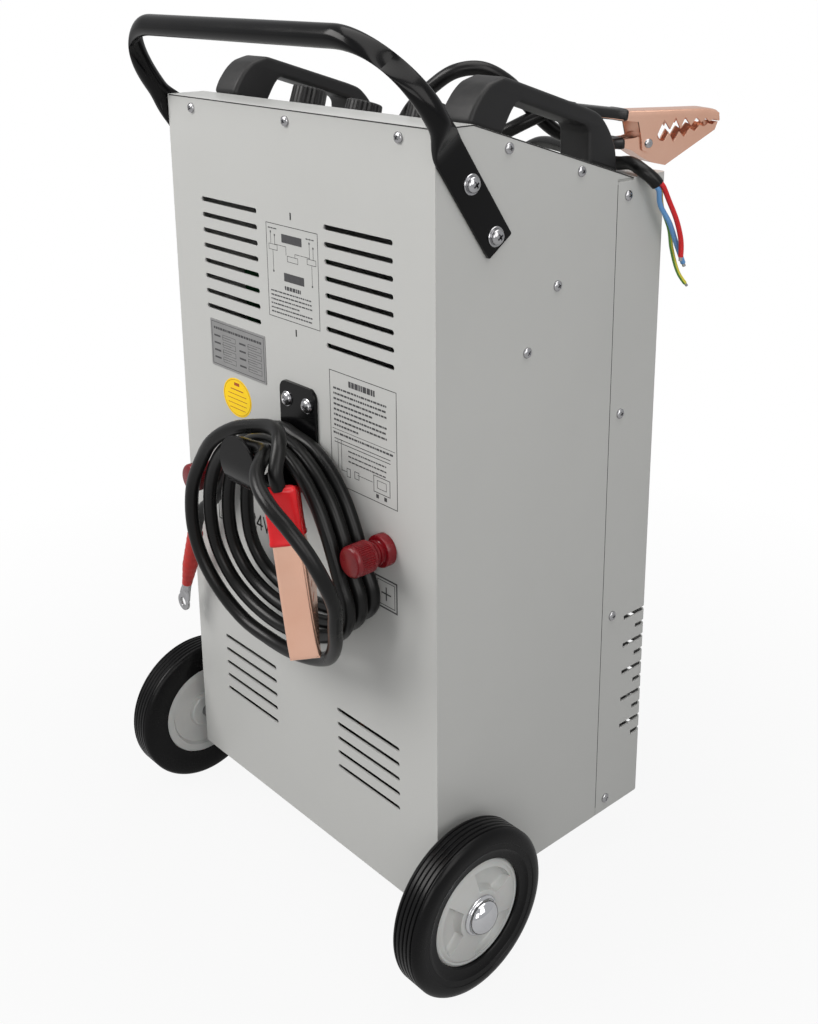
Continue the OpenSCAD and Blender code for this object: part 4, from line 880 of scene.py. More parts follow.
def make_handle_bolts():
    head, ring = screw_head(5.6, 4.2), washer(7.25, 5, 1.2)
    parts = []
    for side in (1, -1):
        for i in (0, 1):
            spot = (HANDLE_FRAME @ shifted(side * (SIDE + STRAP_T), i * -3, i * BOLT_PITCH)
                    @ (LEFT if side > 0 else RIGHT))
            parts += [(*head, spot @ shifted(0, 0, 0.9)), (*ring, spot)]
    build("handle_bolt_heads", parts, ZINC, stands_for=["handle_bolts"], sharp=35)


make_push_handle()
make_handle_bolts()

# ---------------------------------------------------------------- carry handles

CARRY_W, CARRY_X, CARRY_H, CARRY_T = 30, 136.5, 38.2, 12.7
CARRY_OUTER = [(4, 0.1), (5, 10), (9.5, 22), (15, 30), (21, 34), (27.5, CARRY_H - 0.4), (32, CARRY_H),
               (118, CARRY_H), (131, CARRY_H - 0.7), (142, 32), (151, 25), (158.7, 16.5), (164.4, 3),
               (164.8, 0.1)]
CARRY_INNER = [(131, 0.1), (130.7, 2.6), (124, 22), (121, CARRY_H - CARRY_T - 1), (118, CARRY_H - CARRY_T),
               (47.5, CARRY_H - CARRY_T), (45, CARRY_H - CARRY_T - 1.5), (42, 18), (38, 2), (37.5, 0.1)]
CARRY_TURN = Matrix(((0, 0, -1), (-1, 0, 0), (0, 1, 0)))


def make_carry_handles():
    outline = rounded(CARRY_OUTER + CARRY_INNER, 5)
    shape = plate(outline, CARRY_W, 3.2, steps=5)
    for side, hand in SIDES:
        node = "carry_handle_" + hand
        frame_here = on_slope(side * CARRY_X, 0) @ CARRY_TURN.to_4x4()
        build(node + "_grip", [(*shape, frame_here)], BLACK_PLASTIC, stands_for=[node],
              sharp=50, weld=True)


make_carry_handles()

# ---------------------------------------------------------------- cable hook

HOOK_X, HOOK_Z = -6, 343
HOOK_W, HOOK_T, HOOK_R, HOOK_PLATE, HOOK_PITCH = 45, 3, 27, 50, 25


def hook_ring(y, z, angle, half_w):
    """A section of the flat bar: the angle turns its thickness in the plane of the curve."""
    normal = Vector((0, math.cos(angle), math.sin(angle)))
    edge = 0.5
    half_t = HOOK_T / 2
    flat = [(-half_w, -half_t + edge), (-half_w + edge, -half_t), (half_w - edge, -half_t),
            (half_w, -half_t + edge), (half_w, half_t - edge), (half_w - edge, half_t),
            (-half_w + edge, half_t), (-half_w, half_t - edge)]
    return [Vector((u, y, z)) + normal * t for u, t in flat]


def make_hook():
    rings = []
    half = HOOK_W / 2
    corner = 8
    for d in (0.3, 1, 2, 3.5, 5.5, 8):
        width = half - corner + math.sqrt(corner ** 2 - (corner - d) ** 2)
        rings.append(hook_ring(HOOK_T / 2, HOOK_PLATE - d + 0.3, 0.0, width))
    rings.append(hook_ring(HOOK_T / 2, 0, 0.0, half))
    r = HOOK_R + HOOK_T / 2
    for i in range(1, 33):
        a = math.radians(180 + 180 * i / 32)
        rings.append(hook_ring(HOOK_T + HOOK_R + r * math.cos(a), r * math.sin(a), a - math.pi, half))
    for i in range(1, 15):
        z = half * math.sin(math.radians(89 * i / 14))
        rings.append(hook_ring(HOOK_T + HOOK_R + r, z, math.pi, math.sqrt(half ** 2 - z ** 2) + 0.5))
    build("cable_hook_bar", [(*loft(rings), placed(HOOK_X, 0, HOOK_Z))], BLACK_PAINT,
          stands_for=["cable_hook"], sharp=35, weld=True)
    head, ring = screw_head(5.2, 3.0), washer(6.2, 4.8, 0.8)
    parts = []
    for side, spin in ((1, 20), (-1, 65)):
        spot = placed(HOOK_X + side * HOOK_PITCH / 2, HOOK_T, HOOK_Z + HOOK_PLATE - 14,
                      BACK @ turn(spin, "Z"))
        parts += [(*head, spot @ shifted(0, 0, 0.5)), (*ring, spot)]
    build("hook_screw_heads", parts, ZINC, stands_for=["hook_screws"], sharp=35)


make_hook()

# ---------------------------------------------------------------- wheels and feet

WHEEL_R, TYRE_W, HUB_R, AXLE_Y, AXLE_Z, AXLE_R, WHEEL_OUT = 66, 28, 42.5, 9, 23, 6, 38
WHEEL_X = SIDE + WHEEL_OUT


def wheel_frame(side, inset):
    """Local z outwards along the axle, 0 at the inset from the tyre's outer face."""
    return placed(side * (WHEEL_X - inset), -AXLE_Y, AXLE_Z, turn(side * 90, "Y"))


def hub_pocket(start, sweep_deg, inner, outer, floor, top):
    """A cutter for a moulded pocket between two radii, its floor smaller than its mouth."""
    def outline(shrink):
        turn_in = math.degrees(shrink / inner)
        return (arc((0, 0), outer - shrink, start + 4 + turn_in / 2, start + sweep_deg - 4 - turn_in / 2, 24)
                + arc((0, 0), inner + shrink, start + sweep_deg - 10 - turn_in, start + 10 + turn_in, 16))

    rows = [(3.4, floor), (1.6, floor + 0.6), (0.7, floor + 1.8), (0, floor + 4), (-0.6, top)]
    return loft([[(x, y, z) for x, y in outline(shrink)] for shrink, z in rows])


def make_wheels():
    bore = AXLE_R + 0.05
    rim = [(0, 5.4), (0.6, 4.8), (2, 4.2), (3.2, 4.4), (4.6, 3.6), (6, 3)]
    hub = lathe([(bore, 1), (15, 1), (16, 1.6), (17, 6), (HUB_R - 9, 6), (HUB_R - 7, 3), (HUB_R - 0.5, 3),
                 (HUB_R, 3.5)] + [(HUB_R - d, TYRE_W - z) for d, z in rim]
                + [(22, TYRE_W - 1.8), (19, TYRE_W - 1.6), (18, TYRE_W - 1.5), (bore, TYRE_W - 1.5),
                   (bore, 1)], 128)
    for i in range(3):
        hub = cut(hub, hub_pocket(120 * i + 50, 80, 19.5, HUB_R - 6.5, TYRE_W - 9, TYRE_W + 3))
    seat = HUB_R + 0.1
    tread = []
    for i in range(5):
        z = 5.5 + i * 4
        tread += [(WHEEL_R - d, z + rise) for d, rise in ((0, -0.15), (0.15, 0), (1.2, 0.5), (1.2, 1.2),
                                                          (0.15, 1.7), (0, 1.85))]
    inner_wall = [(18, 2), (15, 1.2), (8, 1), (3.5, 1.7), (1.8, 2.4), (0.6, 3.6), (0, 4.8)]
    outer_wall = [(0, 4.6), (0.7, 3.4), (2, 2), (4, 1), (7, 0.1), (10, 0.1), (10.5, 0.6), (15, 0.7),
                  (15.5, 1.2), (18, 2)]
    tyre = lathe([(seat, 3), (seat, 2.2)] + [(WHEEL_R - d, z) for d, z in inner_wall] + tread
                 + [(WHEEL_R - d, TYRE_W - z) for d, z in outer_wall]
                 + [(seat + 0.6, TYRE_W - 2.4), (seat, TYRE_W - 3.2), (seat, 3)], 160)
    dome = 13.4
    cap = lathe([(0, 0.05), (15.5, 0.05), (15.5, 0.9), (15.2, 1.3), (14.6, 1.6), (14.1, 1.7), (13.7, 2.1),
                 (13.4, 2.9)] + [(dome * math.cos(math.radians(a)), 3 + 8 * math.sin(math.radians(a)))
                                 for a in range(5, 86, 8)] + [(0, 11)], 72)
    for side, hand in SIDES:
        body = "wheel_" + hand
        spot = wheel_frame(side, TYRE_W)
        for name, shape, finish, node, slot, sharp in (
                ("hub_", hub, HUB_PLASTIC, "wheel_hub_", "hub_plastic", 28),
                ("tread_", tyre, TYRE_RUBBER, "tyre_", "tyre", 32)):
            build(name + hand, [(*shape, spot)], finish, body, [node + hand], sharp, weld=True)
        build("axle_cap_" + hand, [(*cap, wheel_frame(side, 1.2))], CHROME, "chassis",
              ["axle_caps"] if side > 0 else [])


make_wheels()
softened("axle", 0.3, STEEL)
softened("axle_brackets", 0.4, BLACK_PAINT)


FOOT_X, FOOT_INSET = 45, 34


def make_feet():
    foot = lathe([(0, 0), (12.6, 0), (13.6, 0.4), (14.6, 1.6), (15, 3), (14.7, 6), (13.6, 20), (12.6, 34),
                  (12.3, 41), (11.6, -FLOOR - 0.2), (0, -FLOOR - 0.2)], 72)
    step = lathe([(0, -FLOOR + 1.6), (8.6, -FLOOR + 1.6), (9, -FLOOR + 2), (9, -FLOOR + 4.2),
                  (8.6, -FLOOR + 4.6), (0, -FLOOR + 4.6)], 6)
    parts = []
    for side in (1, -1):
        spot = placed(side * FOOT_X, FOOT_INSET - DEPTH, FLOOR)
        parts += [(*foot, spot), (*step, spot)]
    build("feet_rubber", parts, FOOT_RUBBER, stands_for=["front_feet"], sharp=35)


make_feet()

# ---------------------------------------------------------------- terminals

POST_X, POST_Z, POST_STEP = 105.5, 291, 8
POST_R, KNURLS, KNURL_D = 12, 44, 0.7


def knurled_cap():
    """A cap with fine ridges, a plain ring at each end and a crowned face."""
    levels = [(0.1, -0.9, 0), (0.8, -0.3, 0), (1.4, 0, 0), (2.6, 0, 0), (3.0, 0, 1), (14.6, 0, 1), (15, 0, 0),
              (16.4, 0, 0), (17.4, -0.3, 0), (18.4, -1.2, 0), (18.9, -2.4, 0)]
    return loft([ring_of(KNURLS * 4, lambda k, a: POST_R + grow - (KNURL_D * ridged if k % 4 > 1 else 0), z)
                 for z, grow, ridged in levels])


def make_terminals():
    base = lathe([(0, 0.05), (12.1, 0.05), (12.5, 0.5), (12.5, 6.9), (12.1, 7.6), (11.2, 8), (9.2, 8),
                  (8.6, 8.4), (8.6, 10.2), (9.7, 10.6), (9.7, 11.5), (8.6, 11.9), (8.6, 13.2), (9.5, 13.6),
                  (9.5, 14.4), (8.2, 15.4), (7.4, 15.7), (0, 15.7)], 72)
    stud = lathe([(0, 15), (4, 15), (4, 16.2), (0, 16.2)], 32)
    bases, studs = [], []
    cap = knurled_cap()
    for side, hand in SIDES:
        spot = placed(side * POST_X, 0, POST_Z, BACK)
        bases.append((*base, spot))
        studs.append((*stud, spot))
        seat = spot @ shifted(0, 0, 2 * POST_STEP)
        build("post_cap_" + hand, [(*cap, seat)], POST_RED, "cap_" + hand, ["terminal_cap_" + hand],
              sharp=32)
    build("post_bases", bases, POST_RED, stands_for=["terminal_bases"], sharp=32)
    build("post_collars", studs, BRASS, sharp=32)
    painted("terminal_studs", BRASS)


make_terminals()

# ---------------------------------------------------------------- controls

KNOB_R, KNOB_A, KNOB_PITCH, FLUTES, FLUTE_D = 14.25, 39, 70, 24, 1.1


def fluted_knob(top):
    """A knob with a skirt, rounded flutes and a dished top."""
    sides = FLUTES * 8
    levels = [(0.3, 1.0, 0), (1.6, 1.0, 0), (2.2, 0.6, 0), (2.5, 0, 0.3), (3.2, 0, 1), (top - 1.8, -0.35, 1),
              (top - 0.8, -0.6, 0.8), (top - 0.3, -1.1, 0.4), (top, -1.9, 0)]
    rings = [ring_of(sides, lambda k, a: KNOB_R + grow - FLUTE_D * deep * max(0, math.cos(FLUTES * a)) ** 0.7,
                     z) for z, grow, deep in levels]
    rings += [ring_of(sides, lambda k, a: KNOB_R * share, z)
              for share, z in ((0.8, top - 0.1), (0.72, top - 0.5), (0.4, top - 0.6), (0.1, top - 0.6))]
    return loft(rings)


def make_knobs():
    for i, node, body, height in ((1, "voltage_knob", "voltage_control", 18),
                                  (0, "current_knob", "current_control", 12),
                                  (-1, "timer_knob", "timer_control", 18)):
        spot = on_slope(i * KNOB_PITCH, KNOB_A)
        build(node + "_fluted", [(*fluted_knob(height), spot)], KNOB_PLASTIC, body, [node])
        line = box_shape((-0.7, 5, height - 0.55), (0.7, KNOB_R - 2.2, height + 0.06))
        build(node + "_line", [(*line, spot @ turn(125, "Z"))], WHITE_INK, body,
              sharp=0)
        ring_marks = []
        for k in range(11):
            around = spot @ turn(135 - 27 * k, "Z")
            reach = 6 if k % 5 == 0 else 4.6
            ring_marks.append((*box_shape((-0.4, KNOB_R + 2.6, 0.0), (0.4, KNOB_R + reach, 0.08)), around))
        build(node + "_scale", ring_marks, PRINT, sharp=0)


make_knobs()
softened("rotary_switches", 0.4, BLACK_PLASTIC)
softened("switch_housing", 0.4, BLACK_PLASTIC)
softened("switch_rocker", 0.4, ROCKER_RED)
softened("meter_case", 0.5, BLACK_PLASTIC)
softened("meter_window", 0.2, WINDOW)
softened("meter_needle", 0.1, ROCKER_RED)

METER_X, METER_A, METER_L = 78, 92, 48


def make_dial():
    spot = on_slope(METER_X, METER_A)
    card = plate(oblong(51.6, 43.6, 1.5), 0.5, 0.1)
    build("meter_card", [(*card, spot @ shifted(0, 0, 2.35))], WHITE_INK)
    marks = []
    pivot = spot @ shifted(0, 8 - METER_L / 2, 2.62)
    for k in range(21):
        half, top = (0.3, 29.6) if k % 5 == 0 else (0.15, 27.8)
        marks.append((*box_shape((-half, 25.6, 0), (half, top, 0.06)), pivot @ turn(40 - 4 * k, "Z")))
    sweep_line = [Vector((25.4 * math.sin(math.radians(a)), 25.4 * math.cos(math.radians(a)), 0.03))
                  for a in range(-40, 41, 4)]
    marks.append((*sweep(sweep_line, 0.16, 8), pivot))
    build("meter_scale", marks, PRINT, sharp=0)


make_dial()

# ---------------------------------------------------------------- power unit

for node, finish, width in (("transformer_core", STEEL, 0.6), ("transformer_windings", WINDING, 2.5),
                            ("rectifier_heatsink", SINK_ALUMINIUM, 0.3),
                            ("rectifier_diodes", BLACK_PLASTIC, 0.3), ("circuit_board", BOARD, 0.2),
                            ("fan_frame", BLACK_PLASTIC, 0.4), ("fan_rotor", BLACK_PLASTIC, 0.3)):
    softened(node, width, finish)

# ---------------------------------------------------------------- labels on the back panel


INK_THICK = 0.05


def label_bars(rects, lift):
    """Thin flat bars (x, z, width, height) on the back panel, used as print and as painted shade."""
    panel = placed(0, 0, 0)
    return [(*box_shape((x - w / 2, lift, z - h / 2), (x + w / 2, lift + INK_THICK, z + h / 2)), panel)
            for x, z, w, h in rects]


def frame_bars(left, right, low, high, line):
    """The four sides of a rectangle. left is the greater x, as seen from behind."""
    x, z, w, h = (left + right) / 2, (low + high) / 2, left - right, high - low
    return [(x, high, w + line, line), (x, low, w + line, line), (left, z, line, h), (right, z, line, h)]


def text_bars(rng, left, right, top, rows, pitch, height, fill=0.9):
    """Rows of short bars, as lines of small print that says nothing."""
    bars = []
    for row in range(rows):
        x = left
        stop = left - (left - right) * (fill if row % 4 != 3 else fill * rng.uniform(0.4, 0.8))
        while x > stop + 1:
            w = rng.uniform(1.2, 4.2)
            w = min(w, x - stop)
            bars.append((x - w / 2, top - row * pitch, w, height))
            x -= w + 0.7
    return bars


def circuit_label(rng):
    """The upper label: two headings, a wiring sketch with its terminals, and small print."""
    ink = frame_bars(29.4, -34.1, 441, 513.6, 0.55)
    ink += [(-2.3, 504, 25, 6.5), (-4, 474.5, 25, 6.5)]
    for left, right, low in ((26.5, 16, 493.5), (3.5, -9.5, 487), (-21, -31.5, 489)):
        ink += frame_bars(left, right, low, low + 4.2, 0.4)
    ink += [(24, 502.5, 0.4, 9), (19, 501.5, 0.4, 7), (21.5, 485, 0.4, 17), (12, 498, 14, 0.4),
            (5, 495, 0.4, 7), (-24, 499, 0.4, 11), (-28.5, 497.5, 0.4, 8), (-26.5, 481, 0.4, 16),
            (-15, 494, 18, 0.4), (-6, 492.5, 0.4, 3)]
    ink += [(x, z, 1.5, 1.5) for x, z in ((24, 507), (19, 505), (-24, 505), (-28.5, 502), (21.5, 477),
                                          (-26.5, 473))]
    ink += text_bars(rng, 27, 15, 510, 1, 4, 0.9, 1.0) + text_bars(rng, -20, -31, 508, 1, 4, 0.9, 1.0)
    return ink + text_bars(rng, 8, -12, 466, 1, 4, 3, 1.0) + text_bars(rng, 26, -31, 461.5, 6, 3.3, 1.1)


def note_label(rng):
    """The lower label: a heading, small print and a sketch of the leads and the charger."""
    ink = frame_bars(-44, -119, 325, 414, 0.6)
    ink += text_bars(rng, -66, -97, 407.5, 1, 4, 4.6, 1.0) + text_bars(rng, -48, -115, 401, 8, 4.1, 1.5)
    ink += [(-81.5, 369, 71, 0.4), (-80, 361.5, 64, 0.6), (-80, 358.8, 64, 0.6)]
    ink += text_bars(rng, -47, -116, 366, 1, 4, 1.6, 1.0) + text_bars(rng, -64, -112, 355, 3, 4, 1.1)
    ink += [(-52, 350, 0.45, 22), (-56, 349, 0.45, 24), (-59, 338, 7, 0.45), (-83, 339, 17, 0.45)]
    for box in ((-62, -66, 334.5, 341, 0.5), (-71, -76, 335.5, 341, 0.5), (-93, -111, 332.5, 345, 0.55),
                (-97, -107, 336, 342, 0.4)):
        ink += frame_bars(*box)
    return ink + [(-97, 329.6, 3, 3), (-106, 329.6, 3, 3)]


def polarity_mark(x, z, positive):
    """A plus or a minus in a double frame."""
    ink = []
    for half, line in ((12, 1.3), (9.6, 0.6)):
        ink += frame_bars(x + half, x - half, z - half, z + half, line)
    return ink + [(x, z, 11, 1.2)] + ([(x, z, 1.2, 11)] if positive else [])


def make_labels():
    rng = random.Random(11)
    ink = circuit_label(rng) + note_label(rng)
    ink += polarity_mark(-105, 254, True) + polarity_mark(105, 254, False)
    build("panel_print", label_bars(ink, 0.02), PRINT, sharp=0)
    # Painted shade: two dark bars that stand for the shadowed openings of slits in the back panel
    slit_shade_bars = [(-2, 522, 1.6, 5.5), (-4.4, 433, 1.6, 5.5)]
    build("panel_slit_shade", label_bars(slit_shade_bars, 0.02), SHADE_AND_INK, sharp=0)


VOLTAGE_PLACE = (56.4, 251.4)
VOLTAGE_STROKES = (((-11, 7), (-10, 9.4), (-8, 10), (-5.8, 9.4), (-5, 7.4), (-5.8, 5), (-11, 0), (-4.6, 0)),
                   ((1.6, 0), (1.6, 10), (-3, 3), (3.2, 3)), ((5, 10), (8.2, 0), (11.4, 10)))
VOLTAGE_SIZE = 1.2


def make_voltage_mark():
    """The battery voltage by its terminals, drawn in strokes and read from behind."""
    parts = []
    for stroke in VOLTAGE_STROKES:
        for (x0, z0), (x1, z1) in zip(stroke, stroke[1:]):
            reach = math.hypot(x1 - x0, z1 - z0) * VOLTAGE_SIZE / 2 + 0.7
            tilt = Matrix.Rotation(math.atan2(z1 - z0, x0 - x1), 4, (0, 1, 0))
            middle = placed(VOLTAGE_PLACE[0] - (x0 + x1) * VOLTAGE_SIZE / 2, 0,
                            VOLTAGE_PLACE[1] + (z0 + z1) * VOLTAGE_SIZE / 2)
            bar = box_shape((-reach, 0.02, -0.85), (reach, 0.07, 0.85))
            parts.append((*bar, middle @ tilt.inverted()))
    build("voltage_mark", parts, SHADE_AND_INK, sharp=0)


PLATE_MIDDLE, PLATE_W, PLATE_H = (75.5, 401.7), 77, 40


def make_rating_plate():
    rng = random.Random(3)
    card = plate(oblong(PLATE_W, PLATE_H, 1.2), 0.5, 0.12)
    spot = placed(PLATE_MIDDLE[0], 0.26, PLATE_MIDDLE[1], turn(90, "X"))
    build("rating_plate_foil", [(*card, spot)], FOIL, stands_for=["rating_plate"])
    x, z = PLATE_MIDDLE
    left, right, low, high = x + 36.5, x - 36.5, z - 18, z + 18
    ink = frame_bars(left, right, low, high, 0.45)
    ink += text_bars(rng, left - 3, right + 3, high - 5, 1, 4, 2.0, 1.0)
    for row in range(4):
        level = high - 11.5 - row * 6.2
        for column in (0, 1):
            start = left - 3 - column * 36
            ink += [(start - 4.5, level, 9, 1.5), (start - 18, level, 13, 0.35)]
            ink += frame_bars(start - 12.5, start - 30.5, level - 2, level + 2, 0.3)
    build("rating_plate_print", label_bars(ink, 0.52), PRINT, sharp=0)


def make_oval_sticker():
    def oval(half_w, half_h):
        return [(half_w * c, half_h * s) for c, s in circle(72)]

    spot = placed(80, 0.11, 360.3, turn(90, "X"))
    card = plate(oval(20, 16.5), 0.16, 0.04, steps=1)
    build("oval_sticker", [(*card, spot)], STICKER)
    border = [Vector((x, y, -0.09)) for x, y in oval(18.6, 15.1)]
    shapes = [(*sweep(border + border[:1], 0.16, 6), spot)]
    for row, (half, thick) in enumerate(((3.6, 2.6), (9, 0.8), (13, 0.5), (14, 0.5), (13, 0.5), (11, 0.5))):
        level = 10 - row * 4
        shapes.append((*box_shape((-half, level, -0.14), (half, level + thick, -0.07)), spot))
    build("oval_sticker_print", shapes, STICKER_INK, sharp=0)


# Where the painted gap shade lies: how far in from the sides and how far below the upper edges
GAP_SHADE_INSET, GAP_SHADE_DOWN = 0.15, 0.5


def make_edge_gap_shade():
    """Painted shade: a dark line that stands for the shadowed gap along the covers' upper edges and where
    they overlap.
    """
    reach = SIDE - GAP_SHADE_INSET
    wrap = (COVER_HIGH.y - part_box("front_cover")[1].y) / MM
    line = [(reach, LEDGE - DEPTH, LEDGE_Z - GAP_SHADE_DOWN), (reach, -STRIP, HEIGHT - GAP_SHADE_DOWN),
            (reach, -2, HEIGHT - GAP_SHADE_DOWN), (SIDE - 2, -GAP_SHADE_INSET, HEIGHT - GAP_SHADE_DOWN)]
    line += [(-x, y, z) for x, y, z in reversed(line)]
    spots = [Vector(start).lerp(Vector(end), k / 6) for start, end in zip(line, line[1:]) for k in range(6)]
    lines = [(spots + [Vector(line[-1])], 0.5)]
    for side in (-1, 1):
        lines.append(([Vector((side * reach, 0.2 - wrap, LEDGE_Z - 4 - k * (LEDGE_Z - 12) / 8))
                       for k in range(9)], 0.35))
    parts = [(*sweep(spots, radius, 8), placed(0, 0, 0)) for spots, radius in lines]
    # painted shade: dark tubes where the gaps between the covers fall in shadow
    build("edge_gap_shade", parts, SHADE_AND_INK, sharp=60)


make_labels()
# painted shade along the gaps between the covers
make_edge_gap_shade()
make_voltage_mark()
make_rating_plate()
make_oval_sticker()

# ---------------------------------------------------------------- ring lug and boot

BOOT_FRAME = placed(*BOOT_TOP, turn(BOOT_TURN, "Y"))
BOOT_L = 60


def make_lug():
    skin = [(0, 0.2), (5.2, 0.2), (6.4, 0.3), (6.7, 1)]
    for i in range(1, 40):
        z = 1 + i * 1.5
        r = 7 if z < 38 else 7 - (z - 38) * 0.11
        skin.append((r - 0.25 + 0.12 * math.sin(z * 0.9) + 0.08 * math.sin(z * 2.3 + 1), z))
    skin += [(4.5, BOOT_L - 0.1), (4.2, BOOT_L), (0, BOOT_L)]
    boot = build("lug_boot_sleeve", [(*lathe(skin, 48), BOOT_FRAME)], BOOT_RED,
                 stands_for=["positive_lug_boot"], sharp=45)
    rings = []
    for z, half_w, half_t, power in ((0, 4.3, 4.3, 2), (3, 4.3, 4.3, 2), (6, 4.8, 3.6, 2.4), (8, 5.8, 2.4, 3),
                                     (10, 6.8, 1.3, 5), (14, 7.0, 1.25, 8), (16.4, 7.2, 1.25, 9)):
        rings.append([(x, y, z) for x, y in soft_oblong(half_w, half_t, power, 40)])
    eye = plate(arc((0, 0), 8, 0, 360, 64)[:-1], 2.5, 0.3, [arc((0, 0), 4.2, 0, 360, 48)[:-1]])
    tip = BOOT_FRAME @ shifted(0, 0, BOOT_L)
    parts = [(*loft(rings), tip), (*eye, tip @ shifted(0, 0, 22) @ turn(90, "X"))]
    lug = build("lug_tongue", parts, ZINC, stands_for=["positive_lug"], sharp=35)
    return boot, lug


boot, lug = make_lug()

# ---------------------------------------------------------------- clamps

JAW_W, LOWER_W, RIVET_R = 23, 19.2, 2
SPRING_WIRE, SPRING_TURNS, SPRING_STEPS = 0.7, 5, 20


def swollen_sleeve(length, width, height):
    """A dipped vinyl sleeve: its mouth at local x = 0, 12 mm deep, and its far end rounded and closed."""
    rows = [(-12, 1.3, 1.0, 5), (-0.4, 1.1, 0.85, 5), (0, 0.6, 0.5, 5), (-0.3, 0.1, 0.1, 4.5),
            (-1.2, 0, 0, 4.2), (-2.6, 0, 0, 4.2), (-3.4, 0.5, 0.35, 4.2)]
    rows += [(-length * share, 0.5 + 0.3 * math.sin(math.pi * share), 0.35, 4) for share in (0.25, 0.5, 0.75)]
    for a in range(0, 91, 15):
        s, c = math.sin(math.radians(a)), math.cos(math.radians(a))
        rows.append((-length + 4 - 4 * s, 0.5 + 3.4 * (1 - c), 0.35 + 2.6 * (1 - c), 3.6))
    return loft([[(x, y, z) for y, z in soft_oblong(width / 2 - in_y, height / 2 - in_z, power, 56)]
                 for x, in_y, in_z, power in rows])


def spring_line():
    """The spring wound round the rivet between the cheeks."""
    r = RIVET_R + 0.4 + SPRING_WIRE
    count = SPRING_TURNS * SPRING_STEPS
    angles = [2 * math.pi * i / SPRING_STEPS for i in range(count + 1)]
    return [Vector((r * math.cos(a), -6 + 12 * i / count, r * math.sin(a))) for i, a in enumerate(angles)]


JAW_TIP_X, JAW_SHEET, JAW_FOLD = 67.6, 1.5, 3.4
JAW_BACK = [(-62, 32), (-23, 26.5), (0, 25.9), (30, 25.1), (55, 24.5), (64, 23)]
JAW_CHEEK = [(66.9, 13.6), (66.4, 17), (55, 20.5), (-23, 22.5), (-62, 28), (-62, 25.5), (-23, 18.6),
             (-10, 17), (-6.5, 3), (-5.5, -5), (0, -7.4), (5.5, -5), (8, 5), (8.6, 7), (14, 17.5), (20, 9.6),
             (25, 18.6), (30, 9.4), (34, 18.4), (40, 11.2), (45, 17.5), (50, 13.2), (54, 16.5), (58, 13.4),
             (62, 15.5)]


def fold_section(x, top, leg):
    """One section of the folded jaw sheet: a crowned back with a rounded fold down each side."""
    half, inner = JAW_W / 2, JAW_FOLD - JAW_SHEET
    flat = half - JAW_FOLD
    level = top - JAW_FOLD
    across = [(flat * k / 4, 0.5 * (1 - (k / 4) ** 2)) for k in range(-3, 4)]
    section = [(-half, top - leg)] + arc((-flat, level), JAW_FOLD, 180, 90, 6)
    section += [(y, top + rise) for y, rise in across]
    section += arc((flat, level), JAW_FOLD, 90, 0, 6) + [(half, top - leg), (half - JAW_SHEET, top - leg)]
    section += arc((flat, level), inner, 0, 90, 6)
    section += [(y, top - JAW_SHEET + rise) for y, rise in reversed(across)]
    section += arc((-flat, level), inner, 90, 180, 6) + [(-half + JAW_SHEET, top - leg)]
    return [(x, y, z) for y, z in section]


def jaw_parts(place):
    """The fixed jaw of a clamp: folded back, two toothed cheeks and the end plate."""
    stations = [(x, z - 0.5) for x, z in JAW_BACK]
    stations += [(64 + 3.6 * math.sin(math.radians(a)), 22.5 - 3.6 * (1 - math.cos(math.radians(a))))
                 for a in range(15, 91, 15)]
    parts = [(*loft([fold_section(x, z, 5.2) for x, z in stations]), place)]
    cheek = plate(JAW_CHEEK, JAW_SHEET - 0.04)
    for side in (-1, 1):
        parts.append((*cheek, place @ shifted(0, side * (JAW_W - JAW_SHEET) / 2, 0)
                      @ turn(90, "X")))
    end = [[(x, y, z + 17) for y, z in oblong(22.8 - 2 * shrink, 6.8 - 2 * shrink, 1.2)]
           for x, shrink in ((66, 0), (67, 0), (67.4, 0.15), (JAW_TIP_X, 0.5))]
    return parts + [(*loft(end), place)]


def make_clamp(hand, place, body, rubber):
    upper = place @ shifted(-GRIP_START, 0, UPPER_ARM_Z) @ turn(UPPER_LEAN, "Y")
    lower = place @ shifted(-GRIP_START - 1, 0, 0.8)
    rivet = lathe([(0, -12), (RIVET_R, -12), (RIVET_R, 12), (0, 12)], 32)
    dome = lathe([(0, 0), (3.8, 0), (3.7, 0.5), (3.1, 1.2), (2.0, 1.7), (1.0, 1.6), (0.8, 1.2), (0, 1.2)], 40)
    across_jaw = place @ turn(90, "X")
    rivet_parts = [(*rivet, across_jaw)] + spread(dome, [
        across_jaw @ shifted(0, 0, JAW_W / 2), across_jaw @ turn(180, "X") @ shifted(0, 0, JAW_W / 2)])
    # Painted shade: a dark patch on the end plate that stands for the slot's shadowed opening
    slot = box_shape((JAW_TIP_X - 0.05, -2.6, 16.6), (JAW_TIP_X + 0.02, 2.6, 18))
    moving = hand + "_jaw_moving"
    softened(moving, 0.5, COPPER, segments=3)
    return [
        build(hand + "_upper_sleeve", [(*swollen_sleeve(GRIP_L, JAW_W + 3, 10), upper)], rubber,
              "chassis", [hand + "_grip_fixed"], sharp=50),
        build(hand + "_lower_sleeve", [(*swollen_sleeve(GRIP_L - 8, LOWER_W + 3, 9.4), lower)], rubber,
              body, [hand + "_grip_moving"], sharp=50),
        build(hand + "_rivet", rivet_parts, ZINC, stands_for=["clamp_rivets"]),
        build(hand + "_spring", [(*sweep(spring_line(), SPRING_WIRE, 12), place)], ZINC,
              stands_for=["clamp_springs"], sharp=60),
        build(hand + "_upper_jaw", jaw_parts(place), COPPER, "chassis", [hand + "_jaw_fixed"],
              sharp=35, weld=True),
        build(hand + "_jaw_slot_shade", [(*slot, place)], SHADE_AND_INK, sharp=0),
        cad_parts[moving]]


positive_clamp = make_clamp("positive", POSITIVE_CLAMP, "positive_lever", RED_VINYL)
negative_clamp = make_clamp("negative", NEGATIVE_CLAMP, "negative_lever", BLACK_VINYL)

# ---------------------------------------------------------------- glands and ties


